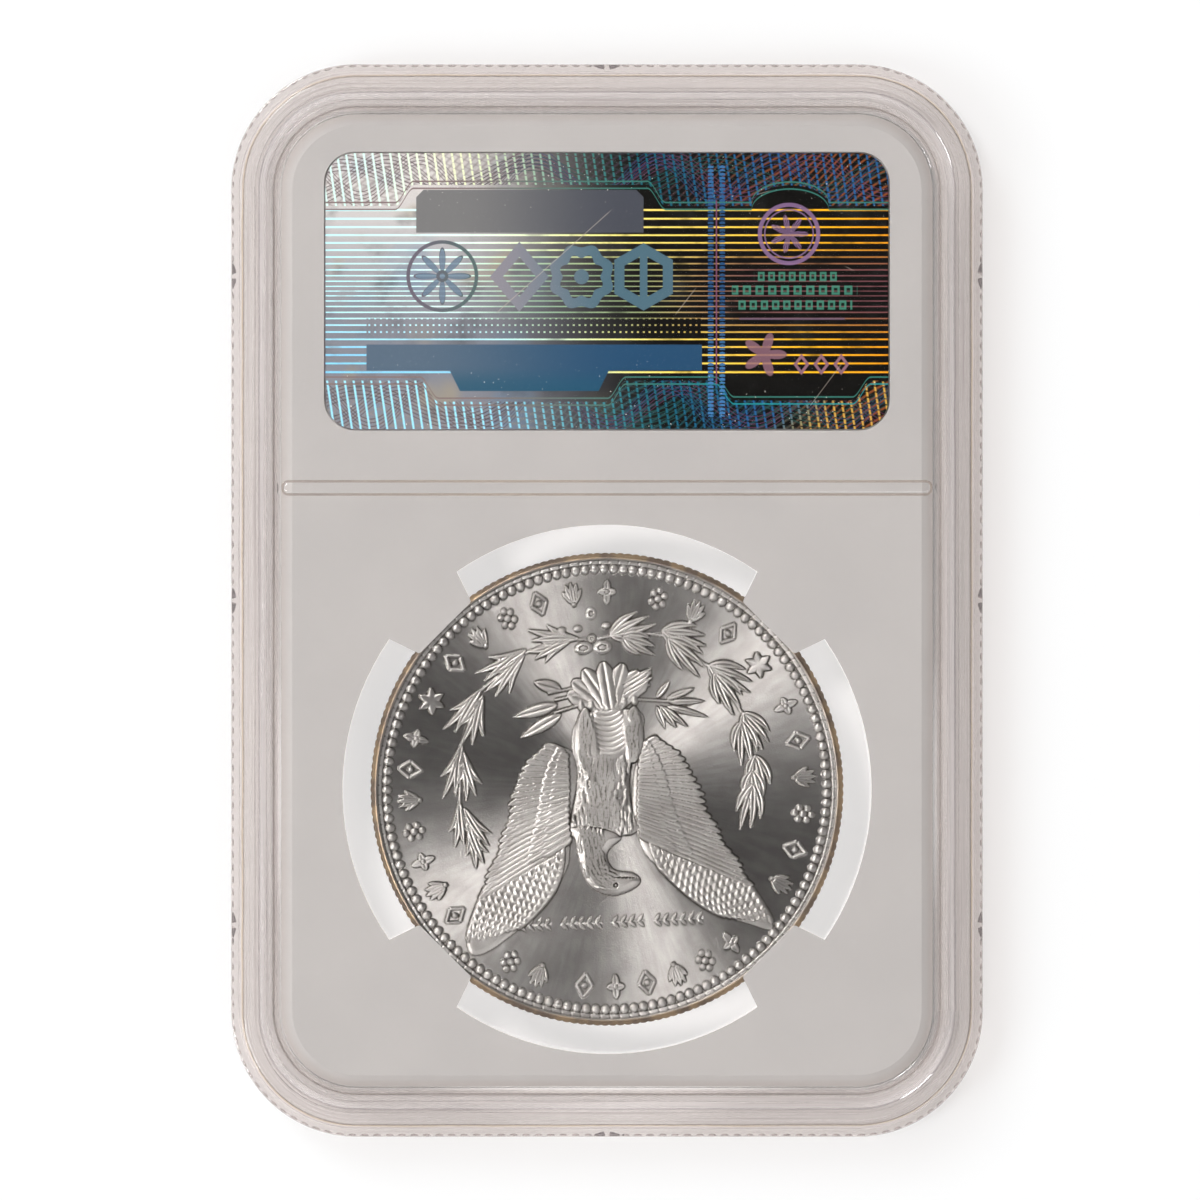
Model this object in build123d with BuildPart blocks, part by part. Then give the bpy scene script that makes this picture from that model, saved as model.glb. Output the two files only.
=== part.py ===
"""Graded coin slab: a dollar-size silver coin sealed with its two labels in a clear plastic holder.

Two clear moulded shells meet at a tongue-and-groove weld half way up the side. Between them lies a white
moulded insert. Four prongs of the insert grip the coin, and a shallow pocket in each of its faces holds a
label: a printed certificate at the front and a holographic film at the rear.

Frame: the slab lies on its front face, with +Z up through its rear face and +Y towards the labels. The
origin is the centre of the footprint, on the surface that the slab lies on. Everything is in millimetres.
"""

from build123d import *
import math
import os

# ---- Driving dimensions -------------------------------------------------------------------------------

slab_width = 60.4          # along X
slab_length = 86.2         # along Y
slab_thickness = 8.0       # along Z
corner_radius = 10.1       # of the slab's outline

# Insets are measured inward from the slab's outline, and every ring of the shells follows it.
frame_inset = 3.9          # inner wall of the clear frame, which is the wall of the cavity
rear_rim_inset = 0.95      # outer wall of the rear stacking rim
rim_top_end = 2.3          # inner edge of the rim's flat top, where the slope to the window starts
front_ring_width = 0.85    # front stacking ring, which goes round a neighbour's rear rim
rear_stack_height = 0.8    # how far the rear rim stands up
front_stack_depth = 0.85   # how deep the front ring's nest is
stack_round = 0.18         # rounding of the rim's and the ring's edges

window_recess = 1.1        # from the slab's two faces down to the clear windows
cavity_height = 3.2        # between the two windows' inner faces
seam_height = 4.0

outer_wall = 0.95          # wall between the side and the outer air channel
weld_rib_start = 1.9       # welded rib between the two air channels
weld_rib_end = 2.5
inner_wall = 0.6           # locating wall round the cavity
channel_depth = 2.25       # of the air channels, measured from the seam
tongue_width = 0.3
tongue_height = 0.3

flute_depth = 0.25         # depth of the fluted band along the side, at the seam
flute_height = 1.5         # height of the band on each shell

notch_length = 2.6         # lens-shaped notches in the side
notch_depth = 0.45
notch_rib = 0.3            # rib left standing across the middle of each notch
notch_spacing = 26.1       # between the three notches on each long side

bar_y = 9.05               # bar between the label window and the coin window
bar_width = 1.05
bar_height = 0.45
bar_end_gap = 0.25

coin_diameter = 38.1
coin_thickness = 2.4
coin_y = -15.2
coin_rim_width = 0.9
coin_rim_chamfer = 0.15
coin_field_depth = 0.2     # field below the rim, on each face
coin_turn = 6.4            # degrees that the coin has crept round in its prongs
star_radius = 0.95
star_distance = 15.8       # from the coin's centre
star_height = 0.12
star_angles = (213, 327)   # on the rear face, before the coin's half turn and creep

insert_gap = 0.08          # insert to the cavity's wall, and to the rear window that lies over it
insert_bevel_width = 0.9
insert_bevel_drop = 0.3
opening_radius = 21.3      # outer radius of the four see-through openings round the coin
prong_tip_radius = 18.4    # the prongs' lips reach in over the coin's rim
prong_tip_half_width = 2.95
prong_tip_round = 0.25
prong_taper = 19.0         # degrees between a prong's side and its centreline
groove_radial_gap = 0.07   # coin to the floor of the prongs' groove
groove_axial_gap = 0.05    # coin to each lip of the groove

label_width = 45.3
label_height = 22.2
label_corner = 2.4
label_y = 24.9
label_thickness = 0.2
pocket_depth = 0.25
pocket_gap = 0.12

# ---- Sizes that follow --------------------------------------------------------------------------------

cavity_bottom = (slab_thickness - cavity_height) / 2
rear_shoulder = slab_thickness - rear_stack_height
rear_window = slab_thickness - window_recess
bar_length = slab_width - 2 * (frame_inset + bar_end_gap)
tongue_start = (weld_rib_start + weld_rib_end - tongue_width) / 2
notch_radius = ((notch_length / 2) ** 2 + notch_depth**2) / (2 * notch_depth)
insert_bottom = cavity_bottom
insert_thickness = cavity_height - insert_gap
insert_top = insert_bottom + insert_thickness
insert_inset = frame_inset + insert_gap
coin_bottom = (slab_thickness - coin_thickness) / 2
coin_top = coin_bottom + coin_thickness
groove_radius = coin_diameter / 2 + groove_radial_gap


def outline(inset):
    """Width, length and corner radius of a rounded rectangle that runs inside the slab's outline."""
    return slab_width - 2 * inset, slab_length - 2 * inset, corner_radius - inset


# ---- Sketches that both shells use --------------------------------------------------------------------

with BuildSketch() as notches:
    for side_x, side_y, outward, count in [
        (slab_width / 2, 0, 0, 3),
        (-slab_width / 2, 0, 180, 3),
        (0, slab_length / 2, 90, 1),
        (0, -slab_length / 2, -90, 1),
    ]:
        with Locations(Location((side_x, side_y), outward)):
            with GridLocations(0, notch_spacing, 1, count):
                with Locations((notch_radius - notch_depth, 0)):
                    Circle(notch_radius)
                Rectangle(3 * notch_depth, notch_rib, mode=Mode.SUBTRACT)

with BuildSketch() as flute_band:
    RectangleRounded(*outline(-flute_depth))
    RectangleRounded(*outline(flute_depth), mode=Mode.SUBTRACT)

with BuildSketch() as air_channels:
    RectangleRounded(*outline(outer_wall))
    RectangleRounded(*outline(weld_rib_start), mode=Mode.SUBTRACT)
    RectangleRounded(*outline(weld_rib_end))
    RectangleRounded(*outline(frame_inset - inner_wall), mode=Mode.SUBTRACT)

with BuildSketch() as tongue:
    RectangleRounded(*outline(tongue_start))
    RectangleRounded(*outline(tongue_start + tongue_width), mode=Mode.SUBTRACT)

os.makedirs("parts", exist_ok=True)

# ---- Rear shell: stacking rim, sloped frame, windows and the tongue of the weld ------------------------

with BuildPart() as rear_shell:
    with BuildSketch(Plane.XY.offset(seam_height)):
        RectangleRounded(*outline(0))
    extrude(amount=rear_shoulder - seam_height)
    with BuildSketch(Plane.XY.offset(rear_shoulder)):
        RectangleRounded(*outline(rear_rim_inset))
    extrude(amount=rear_stack_height)
    fillet(rear_shell.faces().sort_by(Axis.Z)[-1].edges(), stack_round)
    with BuildSketch(Plane.XY.offset(rear_window)):
        RectangleRounded(*outline(frame_inset))
    with BuildSketch(Plane.XY.offset(slab_thickness)):
        RectangleRounded(*outline(rim_top_end))
    loft(mode=Mode.SUBTRACT)
    with BuildSketch(Plane.XY.offset(rear_window)):
        with Locations((0, bar_y)):
            RectangleRounded(bar_length, bar_width, bar_width * 0.4)
    extrude(amount=bar_height)
    with BuildSketch(Plane.XY.offset(seam_height)):
        RectangleRounded(*outline(frame_inset))
    extrude(amount=cavity_height / 2, mode=Mode.SUBTRACT)
    extrude(Plane.XY.offset(seam_height) * air_channels.sketch, amount=channel_depth, mode=Mode.SUBTRACT)
    extrude(Plane.XY.offset(seam_height) * flute_band.sketch, amount=flute_height, mode=Mode.SUBTRACT)
    extrude(Plane.XY.offset(seam_height) * notches.sketch, amount=seam_height, mode=Mode.SUBTRACT)
    extrude(Plane.XY.offset(seam_height) * tongue.sketch, amount=-tongue_height)
rear_shell.part.label = "rear_shell"
export_step(rear_shell.part, "parts/rear_shell.step")

# ---- Front shell: nesting ring, sloped frame, windows and the groove of the weld -----------------------

with BuildPart() as front_shell:
    with BuildSketch():
        RectangleRounded(*outline(0))
    extrude(amount=seam_height)
    fillet(front_shell.faces().sort_by(Axis.Z)[0].edges(), stack_round)
    with BuildSketch():
        RectangleRounded(*outline(front_ring_width))
    extrude(amount=front_stack_depth, mode=Mode.SUBTRACT)
    with BuildSketch(Plane.XY.offset(front_stack_depth)):
        RectangleRounded(*outline(rim_top_end))
    with BuildSketch(Plane.XY.offset(window_recess)):
        RectangleRounded(*outline(frame_inset))
    loft(mode=Mode.SUBTRACT)
    with BuildSketch(Plane.XY.offset(window_recess)):
        with Locations((0, bar_y)):
            RectangleRounded(bar_length, bar_width, bar_width * 0.4)
    extrude(amount=-bar_height)
    with BuildSketch(Plane.XY.offset(seam_height)):
        RectangleRounded(*outline(frame_inset))
    extrude(amount=-cavity_height / 2, mode=Mode.SUBTRACT)
    extrude(Plane.XY.offset(seam_height) * air_channels.sketch, amount=-channel_depth, mode=Mode.SUBTRACT)
    extrude(Plane.XY.offset(seam_height) * flute_band.sketch, amount=-flute_height, mode=Mode.SUBTRACT)
    extrude(Plane.XY.offset(seam_height) * notches.sketch, amount=-seam_height, mode=Mode.SUBTRACT)
    extrude(Plane.XY.offset(seam_height) * tongue.sketch, amount=-tongue_height, mode=Mode.SUBTRACT)
front_shell.part.label = "front_shell"
export_step(front_shell.part, "parts/front_shell.step")

# ---- Insert: soft core that holds the coin by four grooved prongs, and a label in each face -------------

with BuildSketch() as prong:
    with BuildLine():
        root_radius = opening_radius + 1
        root_half_width = prong_tip_half_width + (root_radius - prong_tip_radius) * math.tan(
            math.radians(prong_taper)
        )
        Polyline(
            (prong_tip_radius, -prong_tip_half_width),
            (root_radius, -root_half_width),
            (root_radius, root_half_width),
            (prong_tip_radius, prong_tip_half_width),
            close=True,
        )
    make_face()
    fillet(prong.vertices().group_by(Axis.X)[0], prong_tip_round)

with BuildSketch() as opening:
    Circle(opening_radius)
    with PolarLocations(0, 4, start_angle=45):
        add(prong.sketch, mode=Mode.SUBTRACT)

with BuildPart() as insert:
    with BuildSketch(Plane.XY.offset(insert_bottom)):
        RectangleRounded(*outline(insert_inset))
    extrude(amount=insert_thickness)
    rim_edges = insert.faces().filter_by(Axis.Z).edges()
    chamfer(rim_edges, insert_bevel_drop, insert_bevel_width)
    with BuildSketch(Plane.XY.offset(insert_bottom)):
        with Locations((0, coin_y)):
            add(opening.sketch)
    extrude(amount=insert_thickness, mode=Mode.SUBTRACT)
    with BuildSketch(Plane.XY.offset(coin_bottom - groove_axial_gap)):
        with Locations((0, coin_y)):
            Circle(groove_radius)
    extrude(amount=coin_thickness + 2 * groove_axial_gap, mode=Mode.SUBTRACT)
    with BuildSketch(Plane.XY.offset(insert_top)):
        with Locations((0, label_y)):
            RectangleRounded(
                label_width + 2 * pocket_gap, label_height + 2 * pocket_gap, label_corner + pocket_gap
            )
    pocket_outline = insert.pending_faces[0]
    extrude(amount=-pocket_depth, mode=Mode.SUBTRACT)
    extrude(pocket_outline.moved(Location((0, 0, -insert_thickness))), amount=pocket_depth, mode=Mode.SUBTRACT)
insert.part.label = "insert"
export_step(insert.part, "parts/insert.step")

# ---- Coin: struck disc with raised rims, and two stars on its rear face ----------------------------------

with BuildPart() as coin:
    with BuildSketch(Plane.XZ.offset(-coin_y)):
        with BuildLine():
            edge = coin_diameter / 2
            rim_start = edge - coin_rim_width
            Polyline(
                (0, coin_bottom + coin_field_depth),
                (rim_start - coin_rim_chamfer, coin_bottom + coin_field_depth),
                (rim_start, coin_bottom),
                (edge - coin_rim_chamfer, coin_bottom),
                (edge, coin_bottom + coin_rim_chamfer),
                (edge, coin_top - coin_rim_chamfer),
                (edge - coin_rim_chamfer, coin_top),
                (rim_start, coin_top),
                (rim_start - coin_rim_chamfer, coin_top - coin_field_depth),
                (0, coin_top - coin_field_depth),
                close=True,
            )
        make_face()
    revolve(axis=Axis((0, coin_y, 0), (0, 0, 1)))
    with BuildSketch(Plane.XY.offset(coin_top - coin_field_depth)):
        for angle in star_angles:
            with Locations(Location((0, coin_y), angle + 180 + coin_turn)):
                with Locations((star_distance, 0)):
                    RegularPolygon(star_radius, 3)
                    RegularPolygon(star_radius, 3, rotation=180)
    extrude(amount=star_height)
coin.part.label = "coin"
export_step(coin.part, "parts/coin.step")

# ---- Labels: a holographic film at the rear, a printed certificate at the front -------------------------

with BuildPart() as hologram_label:
    with BuildSketch(Plane.XY.offset(insert_top - pocket_depth)):
        with Locations((0, label_y)):
            RectangleRounded(label_width, label_height, label_corner)
    extrude(amount=label_thickness)
hologram_label.part.label = "hologram_label"
export_step(hologram_label.part, "parts/hologram_label.step")

with BuildPart() as certificate_label:
    with BuildSketch(Plane.XY.offset(insert_bottom + pocket_depth)):
        with Locations((0, label_y)):
            RectangleRounded(label_width, label_height, label_corner)
    extrude(amount=-label_thickness)
certificate_label.part.label = "certificate_label"
export_step(certificate_label.part, "parts/certificate_label.step")
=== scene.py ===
"""Looks of the graded coin slab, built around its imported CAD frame: clear shells, insert, coin and labels."""

import math

import bpy
import bmesh
import numpy as np
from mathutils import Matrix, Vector


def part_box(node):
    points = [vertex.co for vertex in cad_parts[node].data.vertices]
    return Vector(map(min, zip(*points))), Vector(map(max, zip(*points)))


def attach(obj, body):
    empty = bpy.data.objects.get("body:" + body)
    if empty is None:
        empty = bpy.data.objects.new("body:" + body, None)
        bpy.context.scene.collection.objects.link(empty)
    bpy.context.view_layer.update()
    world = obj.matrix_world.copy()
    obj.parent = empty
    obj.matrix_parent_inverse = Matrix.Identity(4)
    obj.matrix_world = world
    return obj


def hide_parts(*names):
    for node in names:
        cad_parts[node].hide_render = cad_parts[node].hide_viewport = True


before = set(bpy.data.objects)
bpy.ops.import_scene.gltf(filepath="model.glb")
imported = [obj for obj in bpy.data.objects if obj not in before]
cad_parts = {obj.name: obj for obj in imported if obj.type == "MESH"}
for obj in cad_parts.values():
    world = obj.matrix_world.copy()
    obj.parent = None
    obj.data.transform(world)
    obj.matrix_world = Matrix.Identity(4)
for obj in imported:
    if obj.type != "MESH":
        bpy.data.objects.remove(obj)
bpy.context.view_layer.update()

MM = 0.001

# ---- Places and sizes, in millimetres, read from the frame ---------------------------------------------


def node_box(name):
    """A CAD node's lowest and highest corners, in millimetres."""
    low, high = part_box(name)
    return np.array(low) / MM, np.array(high) / MM


rear_low, rear_high = node_box("rear_shell")
coin_low, coin_high = node_box("coin")
insert_low, insert_high = node_box("insert")
film_low, film_high = node_box("hologram_label")
card_high = node_box("certificate_label")[1]

SLAB_WIDTH, SLAB_LENGTH = rear_high[:2] - rear_low[:2]
SLAB_TOP = rear_high[2]
SEAM = node_box("front_shell")[1][2]
CORNER = 10.1
SEAM_GAP = 0.01


def plain_colours_and_deep_glass():
    """Greys stay neutral, and light gets through every wall of the shells."""
    bpy.context.scene.view_settings.view_transform = "Standard"
    cycles = bpy.context.scene.cycles
    cycles.max_bounces = 24
    cycles.transmission_bounces = 24
    cycles.transparent_max_bounces = 32
    cycles.glossy_bounces = 6
    cycles.diffuse_bounces = 4
    cycles.caustics_reflective = False
    cycles.caustics_refractive = False


def toward(angle):
    """Unit vector along an angle in radians."""
    return np.array((math.cos(angle), math.sin(angle)))


def add_object(name, data):
    """A new object with the given mesh, lamp or camera, in the scene's collection."""
    added = bpy.data.objects.new(name, data)
    bpy.context.collection.objects.link(added)
    return added


# ---- Node helpers --------------------------------------------------------------------------------------


def new_material(name):
    """An empty node material with its Principled shader."""
    material = bpy.data.materials.new(name)
    material.use_nodes = True
    return material, material.node_tree, material.node_tree.nodes["Principled BSDF"]


def set_inputs(node, **values):
    """Sets a node's inputs, with each name's underscores read as spaces."""
    for name, value in values.items():
        node.inputs[name.replace("_", " ")].default_value = value


class Field:
    """A number or colour that varies over a surface. Arithmetic on it is written as shader nodes."""

    def __init__(self, tree, socket):
        self.tree = tree
        self.socket = socket

    def __add__(self, other):
        return maths("ADD", self, other)

    def __radd__(self, other):
        return maths("ADD", other, self)

    def __sub__(self, other):
        return maths("SUBTRACT", self, other)

    def __rsub__(self, other):
        return maths("SUBTRACT", other, self)

    def __mul__(self, other):
        return maths("MULTIPLY", self, other)

    def __rmul__(self, other):
        return maths("MULTIPLY", other, self)

    def __truediv__(self, other):
        return maths("DIVIDE", self, other)


def tree_of(*values):
    """The node tree that the fields among some values belong to."""
    return next(value.tree for value in values if isinstance(value, Field))


def plug(value, socket):
    """Links a field to a socket, or sets the socket to a plain number or colour."""
    if isinstance(value, Field):
        value.tree.links.new(value.socket, socket)
    else:
        socket.default_value = (*value, 1) if isinstance(value, tuple) else value


def maths(operation, *values):
    """A Math node fed with fields and plain numbers."""
    tree = tree_of(*values)
    node = tree.nodes.new("ShaderNodeMath")
    node.operation = operation
    for value, socket in zip(values, node.inputs):
        plug(value, socket)
    return Field(tree, node.outputs["Value"])


def absolute(value):
    return maths("ABSOLUTE", value)


def fraction(value):
    return maths("FRACT", value)


def root(value):
    return maths("SQRT", value)


def sine(value):
    return maths("SINE", value)


def cosine(value):
    return maths("COSINE", value)


def angle_of(dx, dy):
    """Bearing of an offset, in radians."""
    return maths("ARCTAN2", dy, dx)


def larger(a, b):
    return maths("MAXIMUM", a, b)


def smaller(a, b):
    return maths("MINIMUM", a, b)


def smooth(value, low, high):
    """Smooth step from 0 at low to 1 at high, for fields and for arrays."""
    if isinstance(value, Field):
        node = value.tree.nodes.new("ShaderNodeMapRange")
        node.interpolation_type = "SMOOTHSTEP"
        set_inputs(node, From_Min=low, From_Max=high)
        plug(value, node.inputs["Value"])
        return Field(value.tree, node.outputs["Result"])
    t = np.clip((value - low) / (high - low), 0, 1)
    return t * t * (3 - 2 * t)


def blend(a, b, amount):
    """Colour a where the amount is 0, colour b where it is 1."""
    tree = tree_of(amount)
    node = tree.nodes.new("ShaderNodeMix")
    node.data_type = "RGBA"
    for value, socket in ((amount, node.inputs[0]), (a, node.inputs[6]), (b, node.inputs[7])):
        plug(value, socket)
    return Field(tree, node.outputs[2])


def blend_number(a, b, amount):
    """Number a where the amount is 0, number b where it is 1."""
    node = tree_of(amount).nodes.new("ShaderNodeMix")
    for value, socket in zip((amount, a, b), node.inputs[:1] + node.inputs[2:4]):
        plug(value, socket)
    return Field(amount.tree, node.outputs[0])


def ramp(position, stops):
    """A colour ramp through (position, colour) stops."""
    node = position.tree.nodes.new("ShaderNodeValToRGB")
    elements = node.color_ramp.elements
    while len(elements) < len(stops):
        elements.new(0.5)
    for element, (place, colour) in zip(elements, stops):
        element.position = place
        element.color = (*colour, 1)
    plug(position, node.inputs["Fac"])
    return Field(position.tree, node.outputs["Color"])


def clouds(x, y, scale, detail):
    """Cloudy noise from 0 to 1 over a plane, scale being its features per millimetre."""
    tree = x.tree
    join = tree.nodes.new("ShaderNodeCombineXYZ")
    plug(x, join.inputs["X"])
    plug(y, join.inputs["Y"])
    node = tree.nodes.new("ShaderNodeTexNoise")
    set_inputs(node, Scale=scale, Detail=detail)
    tree.links.new(join.outputs["Vector"], node.inputs["Vector"])
    return Field(tree, node.outputs["Fac"])


def axes_of(tree, vector):
    """X, Y and Z of a vector socket, as fields."""
    split = tree.nodes.new("ShaderNodeSeparateXYZ")
    tree.links.new(vector, split.inputs["Vector"])
    return [Field(tree, split.outputs[axis]) for axis in "XYZ"]


def places(tree):
    """X and Y of the surface in millimetres, in the frame at rest."""
    coordinates = tree.nodes.new("ShaderNodeTexCoord")
    x, y = axes_of(tree, coordinates.outputs["Object"])[:2]
    return x * (1 / MM), y * (1 / MM)


def roughen(tree, height, strength, distance, *shaders):
    """Bumps the shaders by a height field, distance being its depth in millimetres."""
    bump = tree.nodes.new("ShaderNodeBump")
    set_inputs(bump, Strength=strength, Distance=distance * MM)
    plug(height, bump.inputs["Height"])
    for shader in shaders:
        tree.links.new(bump.outputs["Normal"], shader.inputs["Normal"])


def as_light(colour):
    """Socket of a colour that was picked as a screen shows it, turned into what shaders take."""
    linear = colour.tree.nodes.new("ShaderNodeGamma")
    set_inputs(linear, Gamma=2.2)
    plug(colour, linear.inputs["Color"])
    return linear.outputs["Color"]


# ---- Clear shells --------------------------------------------------------------------------------------

FRAME_INSET = 3.9
FLUTE_DEPTH = 0.25
FLUTE_PITCH = 1.0
FLUTE_HEIGHT = 1.5
FLUTE_LEDGE = 0.02
STATION_STEP = 0.125
NOTCH_LENGTH = 2.6
NOTCH_DEPTH = 0.45
NOTCH_RIB = 0.3
NOTCH_SPACING = 26.1


def outline_stations():
    """Skeleton points, outward normals and path lengths round the slab's outline, starting at +X, -Y."""
    half = np.array((SLAB_WIDTH / 2 - CORNER, SLAB_LENGTH / 2 - CORNER))
    corners = [half * signs for signs in ((1, -1), (1, 1), (-1, 1), (-1, -1))]
    centres, normals, lengths = [], [], []
    travelled = 0.0
    for side in range(4):
        start, end = corners[side], corners[(side + 1) % 4]
        for length, turning in ((np.linalg.norm(end - start), 0), (CORNER * math.pi / 2, 90)):
            count = round(length / STATION_STEP)
            for share in np.arange(count) / count:
                centres.append(end if turning else start + (end - start) * share)
                normals.append(toward(math.radians(90 * side + turning * share)))
                lengths.append(travelled + length * share)
            travelled += length
    return np.array(centres), np.array(normals), np.array(lengths), travelled


CENTRES, NORMALS, LENGTHS, PERIMETER = outline_stations()


def flutes():
    """Depth of the fluted band's scallops at each station."""
    count = round(PERIMETER / FLUTE_PITCH)
    wave = np.abs(np.sin(np.pi * LENGTHS / PERIMETER * count))
    return FLUTE_DEPTH * wave**0.7


def notches():
    """Depth of the lens-shaped notches at each station, with the rib across the middle of each."""
    outer = CENTRES + NORMALS * CORNER
    depth = np.zeros(len(outer))
    radius = ((NOTCH_LENGTH / 2) ** 2 + NOTCH_DEPTH**2) / (2 * NOTCH_DEPTH)
    for x, y in notch_places():
        distance = np.hypot(outer[:, 0] - x, outer[:, 1] - y)
        inside = (distance < NOTCH_LENGTH / 2) & (distance > NOTCH_RIB / 2)
        bow = np.sqrt(np.maximum(radius**2 - distance**2, 0)) - (radius - NOTCH_DEPTH)
        depth = np.where(inside, np.maximum(depth, bow), depth)
    return depth


def notch_places():
    """Centres of the notches on the outline."""
    places = [(0, SLAB_LENGTH / 2), (0, -SLAB_LENGTH / 2)]
    for step in (-1, 0, 1):
        places.append((SLAB_WIDTH / 2, step * NOTCH_SPACING))
        places.append((-SLAB_WIDTH / 2, step * NOTCH_SPACING))
    return places


def arc_points(centre, radius, start, end, count):
    """Points of a small round in a profile, as (inset, height) pairs."""
    turns = np.radians(np.linspace(start, end, count))
    return [(centre[0] + radius * math.cos(t), centre[1] + radius * math.sin(t)) for t in turns]


EDGE_ROUND = 0.18
SHOULDER_ROUND = 0.12
FOOT_ROUND = 0.08
RIM_INSET = 0.95
RIM_TOP_END = 2.3
STACK_HEIGHT = 0.8
NEST_RING = 0.85
WINDOW_RECESS = 1.1
CAVITY_HALF = 1.6
CHANNEL_DEPTH = 2.25
CHANNEL_ROUND = 0.06
CHANNELS = ((0.95, 1.9), (2.5, 3.3))


def frame_underside(seam, direction):
    """Profile under the frame from the cavity wall out to the side: weld rib, walls and air channels."""
    roof = seam + direction * CHANNEL_DEPTH
    eave = roof - direction * CHANNEL_ROUND
    points = [(FRAME_INSET, seam + direction * CAVITY_HALF), (FRAME_INSET, seam)]
    for far, near in reversed(CHANNELS):
        points += [(near, seam), (near, eave), (near - CHANNEL_ROUND, roof)]
        points += [(far + CHANNEL_ROUND, roof), (far, eave), (far, seam)]
    return points


def fluted_side(seam, direction):
    """Profile of the side's fluted band, from the seam to the ledge that ends it."""
    end = seam + direction * FLUTE_HEIGHT
    middle = seam + direction * FLUTE_HEIGHT / 2
    return [(0.0, seam, 1), (0.0, middle, 1), (0.0, end, 1), (0.0, end + direction * FLUTE_LEDGE, 0)]


def unfluted(points):
    """Profile points that the flutes and notches don't reach."""
    return [(inset, height, 0) for inset, height in points]


def rear_profile():
    """Rear shell's outer and inner profiles as (inset, height, share of the side's flutes)."""
    seam = SEAM + SEAM_GAP
    shoulder = SLAB_TOP - STACK_HEIGHT
    window = SLAB_TOP - WINDOW_RECESS
    round_out = arc_points((SHOULDER_ROUND, shoulder - SHOULDER_ROUND), SHOULDER_ROUND, 180, 90, 5)
    foot = arc_points((RIM_INSET - FOOT_ROUND, shoulder + FOOT_ROUND), FOOT_ROUND, -90, 0, 4)
    top = arc_points((RIM_INSET + EDGE_ROUND, SLAB_TOP - EDGE_ROUND), EDGE_ROUND, 180, 90, 6)
    slope = [
        (RIM_TOP_END - 0.1, SLAB_TOP), (RIM_TOP_END, SLAB_TOP - 0.02), (RIM_TOP_END + 0.12, SLAB_TOP - 0.09),
        (FRAME_INSET - 0.12, window + 0.05), (FRAME_INSET, window),
    ]
    outside = fluted_side(seam, 1) + unfluted(round_out + foot + top + slope)
    return outside, unfluted(frame_underside(seam, 1))


def front_profile():
    """Front shell's outer and inner profiles, from the side's seam edge round the ring to the window."""
    seam = SEAM - SEAM_GAP
    outer_round = arc_points((EDGE_ROUND, EDGE_ROUND), EDGE_ROUND, 180, 270, 5)
    inner_round = arc_points((NEST_RING - EDGE_ROUND, EDGE_ROUND), EDGE_ROUND, 270, 360, 5)
    nest = [(NEST_RING, NEST_RING), (RIM_TOP_END, NEST_RING), (FRAME_INSET, WINDOW_RECESS)]
    outside = fluted_side(seam, -1) + unfluted(outer_round + inner_round + nest)
    return outside, unfluted(frame_underside(seam, -1))


LEDGE_RING = 2
BAR_WIDTH = 1.05
BAR_HEIGHT = 0.45
BAR_CORNER = 0.42
BAR_END_GAP = 0.25
BAR_Y = 9.05
BAR_STEPS = (
    (-0.1, 0.0), (-0.02, 0.03), (0.03, 0.1), (0.05, 0.3), (0.1, 0.39), (0.17, 0.43), (0.3, BAR_HEIGHT),
)
BAR_CROWN = 4
PLAIN = (0, 1)


def bar_loops(window_height, direction):
    """Loops of the divider bar, from its foot on the window to its crowned top."""
    length = SLAB_WIDTH - 2 * (FRAME_INSET + BAR_END_GAP)
    loops = []
    for shrink, rise in BAR_STEPS:
        radius = BAR_CORNER - shrink
        middle = np.array((length / 2 - shrink - radius, BAR_WIDTH / 2 - shrink - radius))
        loop = []
        for signs, turn in (((1, 1), 0), ((-1, 1), 90), ((-1, -1), 180), ((1, -1), 270)):
            for step in np.linspace(0, 90, 7):
                x, y = middle * signs + radius * toward(math.radians(turn + step))
                loop.append((x, BAR_Y + y, window_height + direction * rise))
        loops.append(loop)
    return loops


def skin(shell, low, high):
    """Faces between two loops of points, with the number of each."""
    for i in range(len(low)):
        j = (i + 1) % len(low)
        face = shell.faces.new((low[i], low[j], high[j], high[i]))
        face.smooth = True
        yield i, face


def sweep_frame(shell, sweep, outside, inside, direction):
    """The frame's profile swept round the outline. The sweep map holds each point's way along and inset."""
    profile = outside + inside
    notched = notches()
    side_depth = np.maximum(flutes(), notched)
    rings = []
    for inset, height, fluted in profile:
        reach = CORNER - np.maximum(inset, side_depth * fluted)
        points = CENTRES + NORMALS * reach[:, None]
        rings.append([shell.verts.new((x * MM, y * MM, height * MM)) for x, y in points])
    window_ring = len(outside) - 1
    along = np.append(LENGTHS, PERIMETER)
    for a, b in zip(range(len(rings)), [*range(1, len(rings)), 0]):
        if a == window_ring:
            continue
        shown = direction > 0 and max(a, b) <= window_ring
        for i, face in skin(shell, rings[a], rings[b]):
            for loop, (station, ring) in zip(face.loops, ((i, a), (i + 1, a), (i + 1, b), (i, b))):
                v = profile[ring][0] * 0.1 + (0 if shown else 1)
                # The ledge ring is marked for painted shade, darker still where a notch cuts in.
                if shown and a == LEDGE_RING:
                    v = -0.1 if notched[i] > 0 else -0.05
                loop[sweep].uv = (along[station] * 0.01, v)
    return rings[window_ring], rings[window_ring + 1]


def raise_bar(shell, sweep, window, direction):
    """The divider bar on the window; on the rear shell its lower walls take the frame's painted dark shade line,
    with its streaks.
    """
    bars = [[shell.verts.new([c * MM for c in p]) for p in loop] for loop in bar_loops(window, direction)]
    for step, (low, high) in enumerate(zip(bars, bars[1:])):
        # Rear shell: the lower walls are marked to take the painted dark shade line.
        v = 0.1 if direction > 0 and step < BAR_CROWN else 1
        for _, face in skin(shell, low, high):
            for loop in face.loops:
                loop[sweep].uv = (loop.vert.co.x, v)
    return bars[0], bars[-1]


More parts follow.
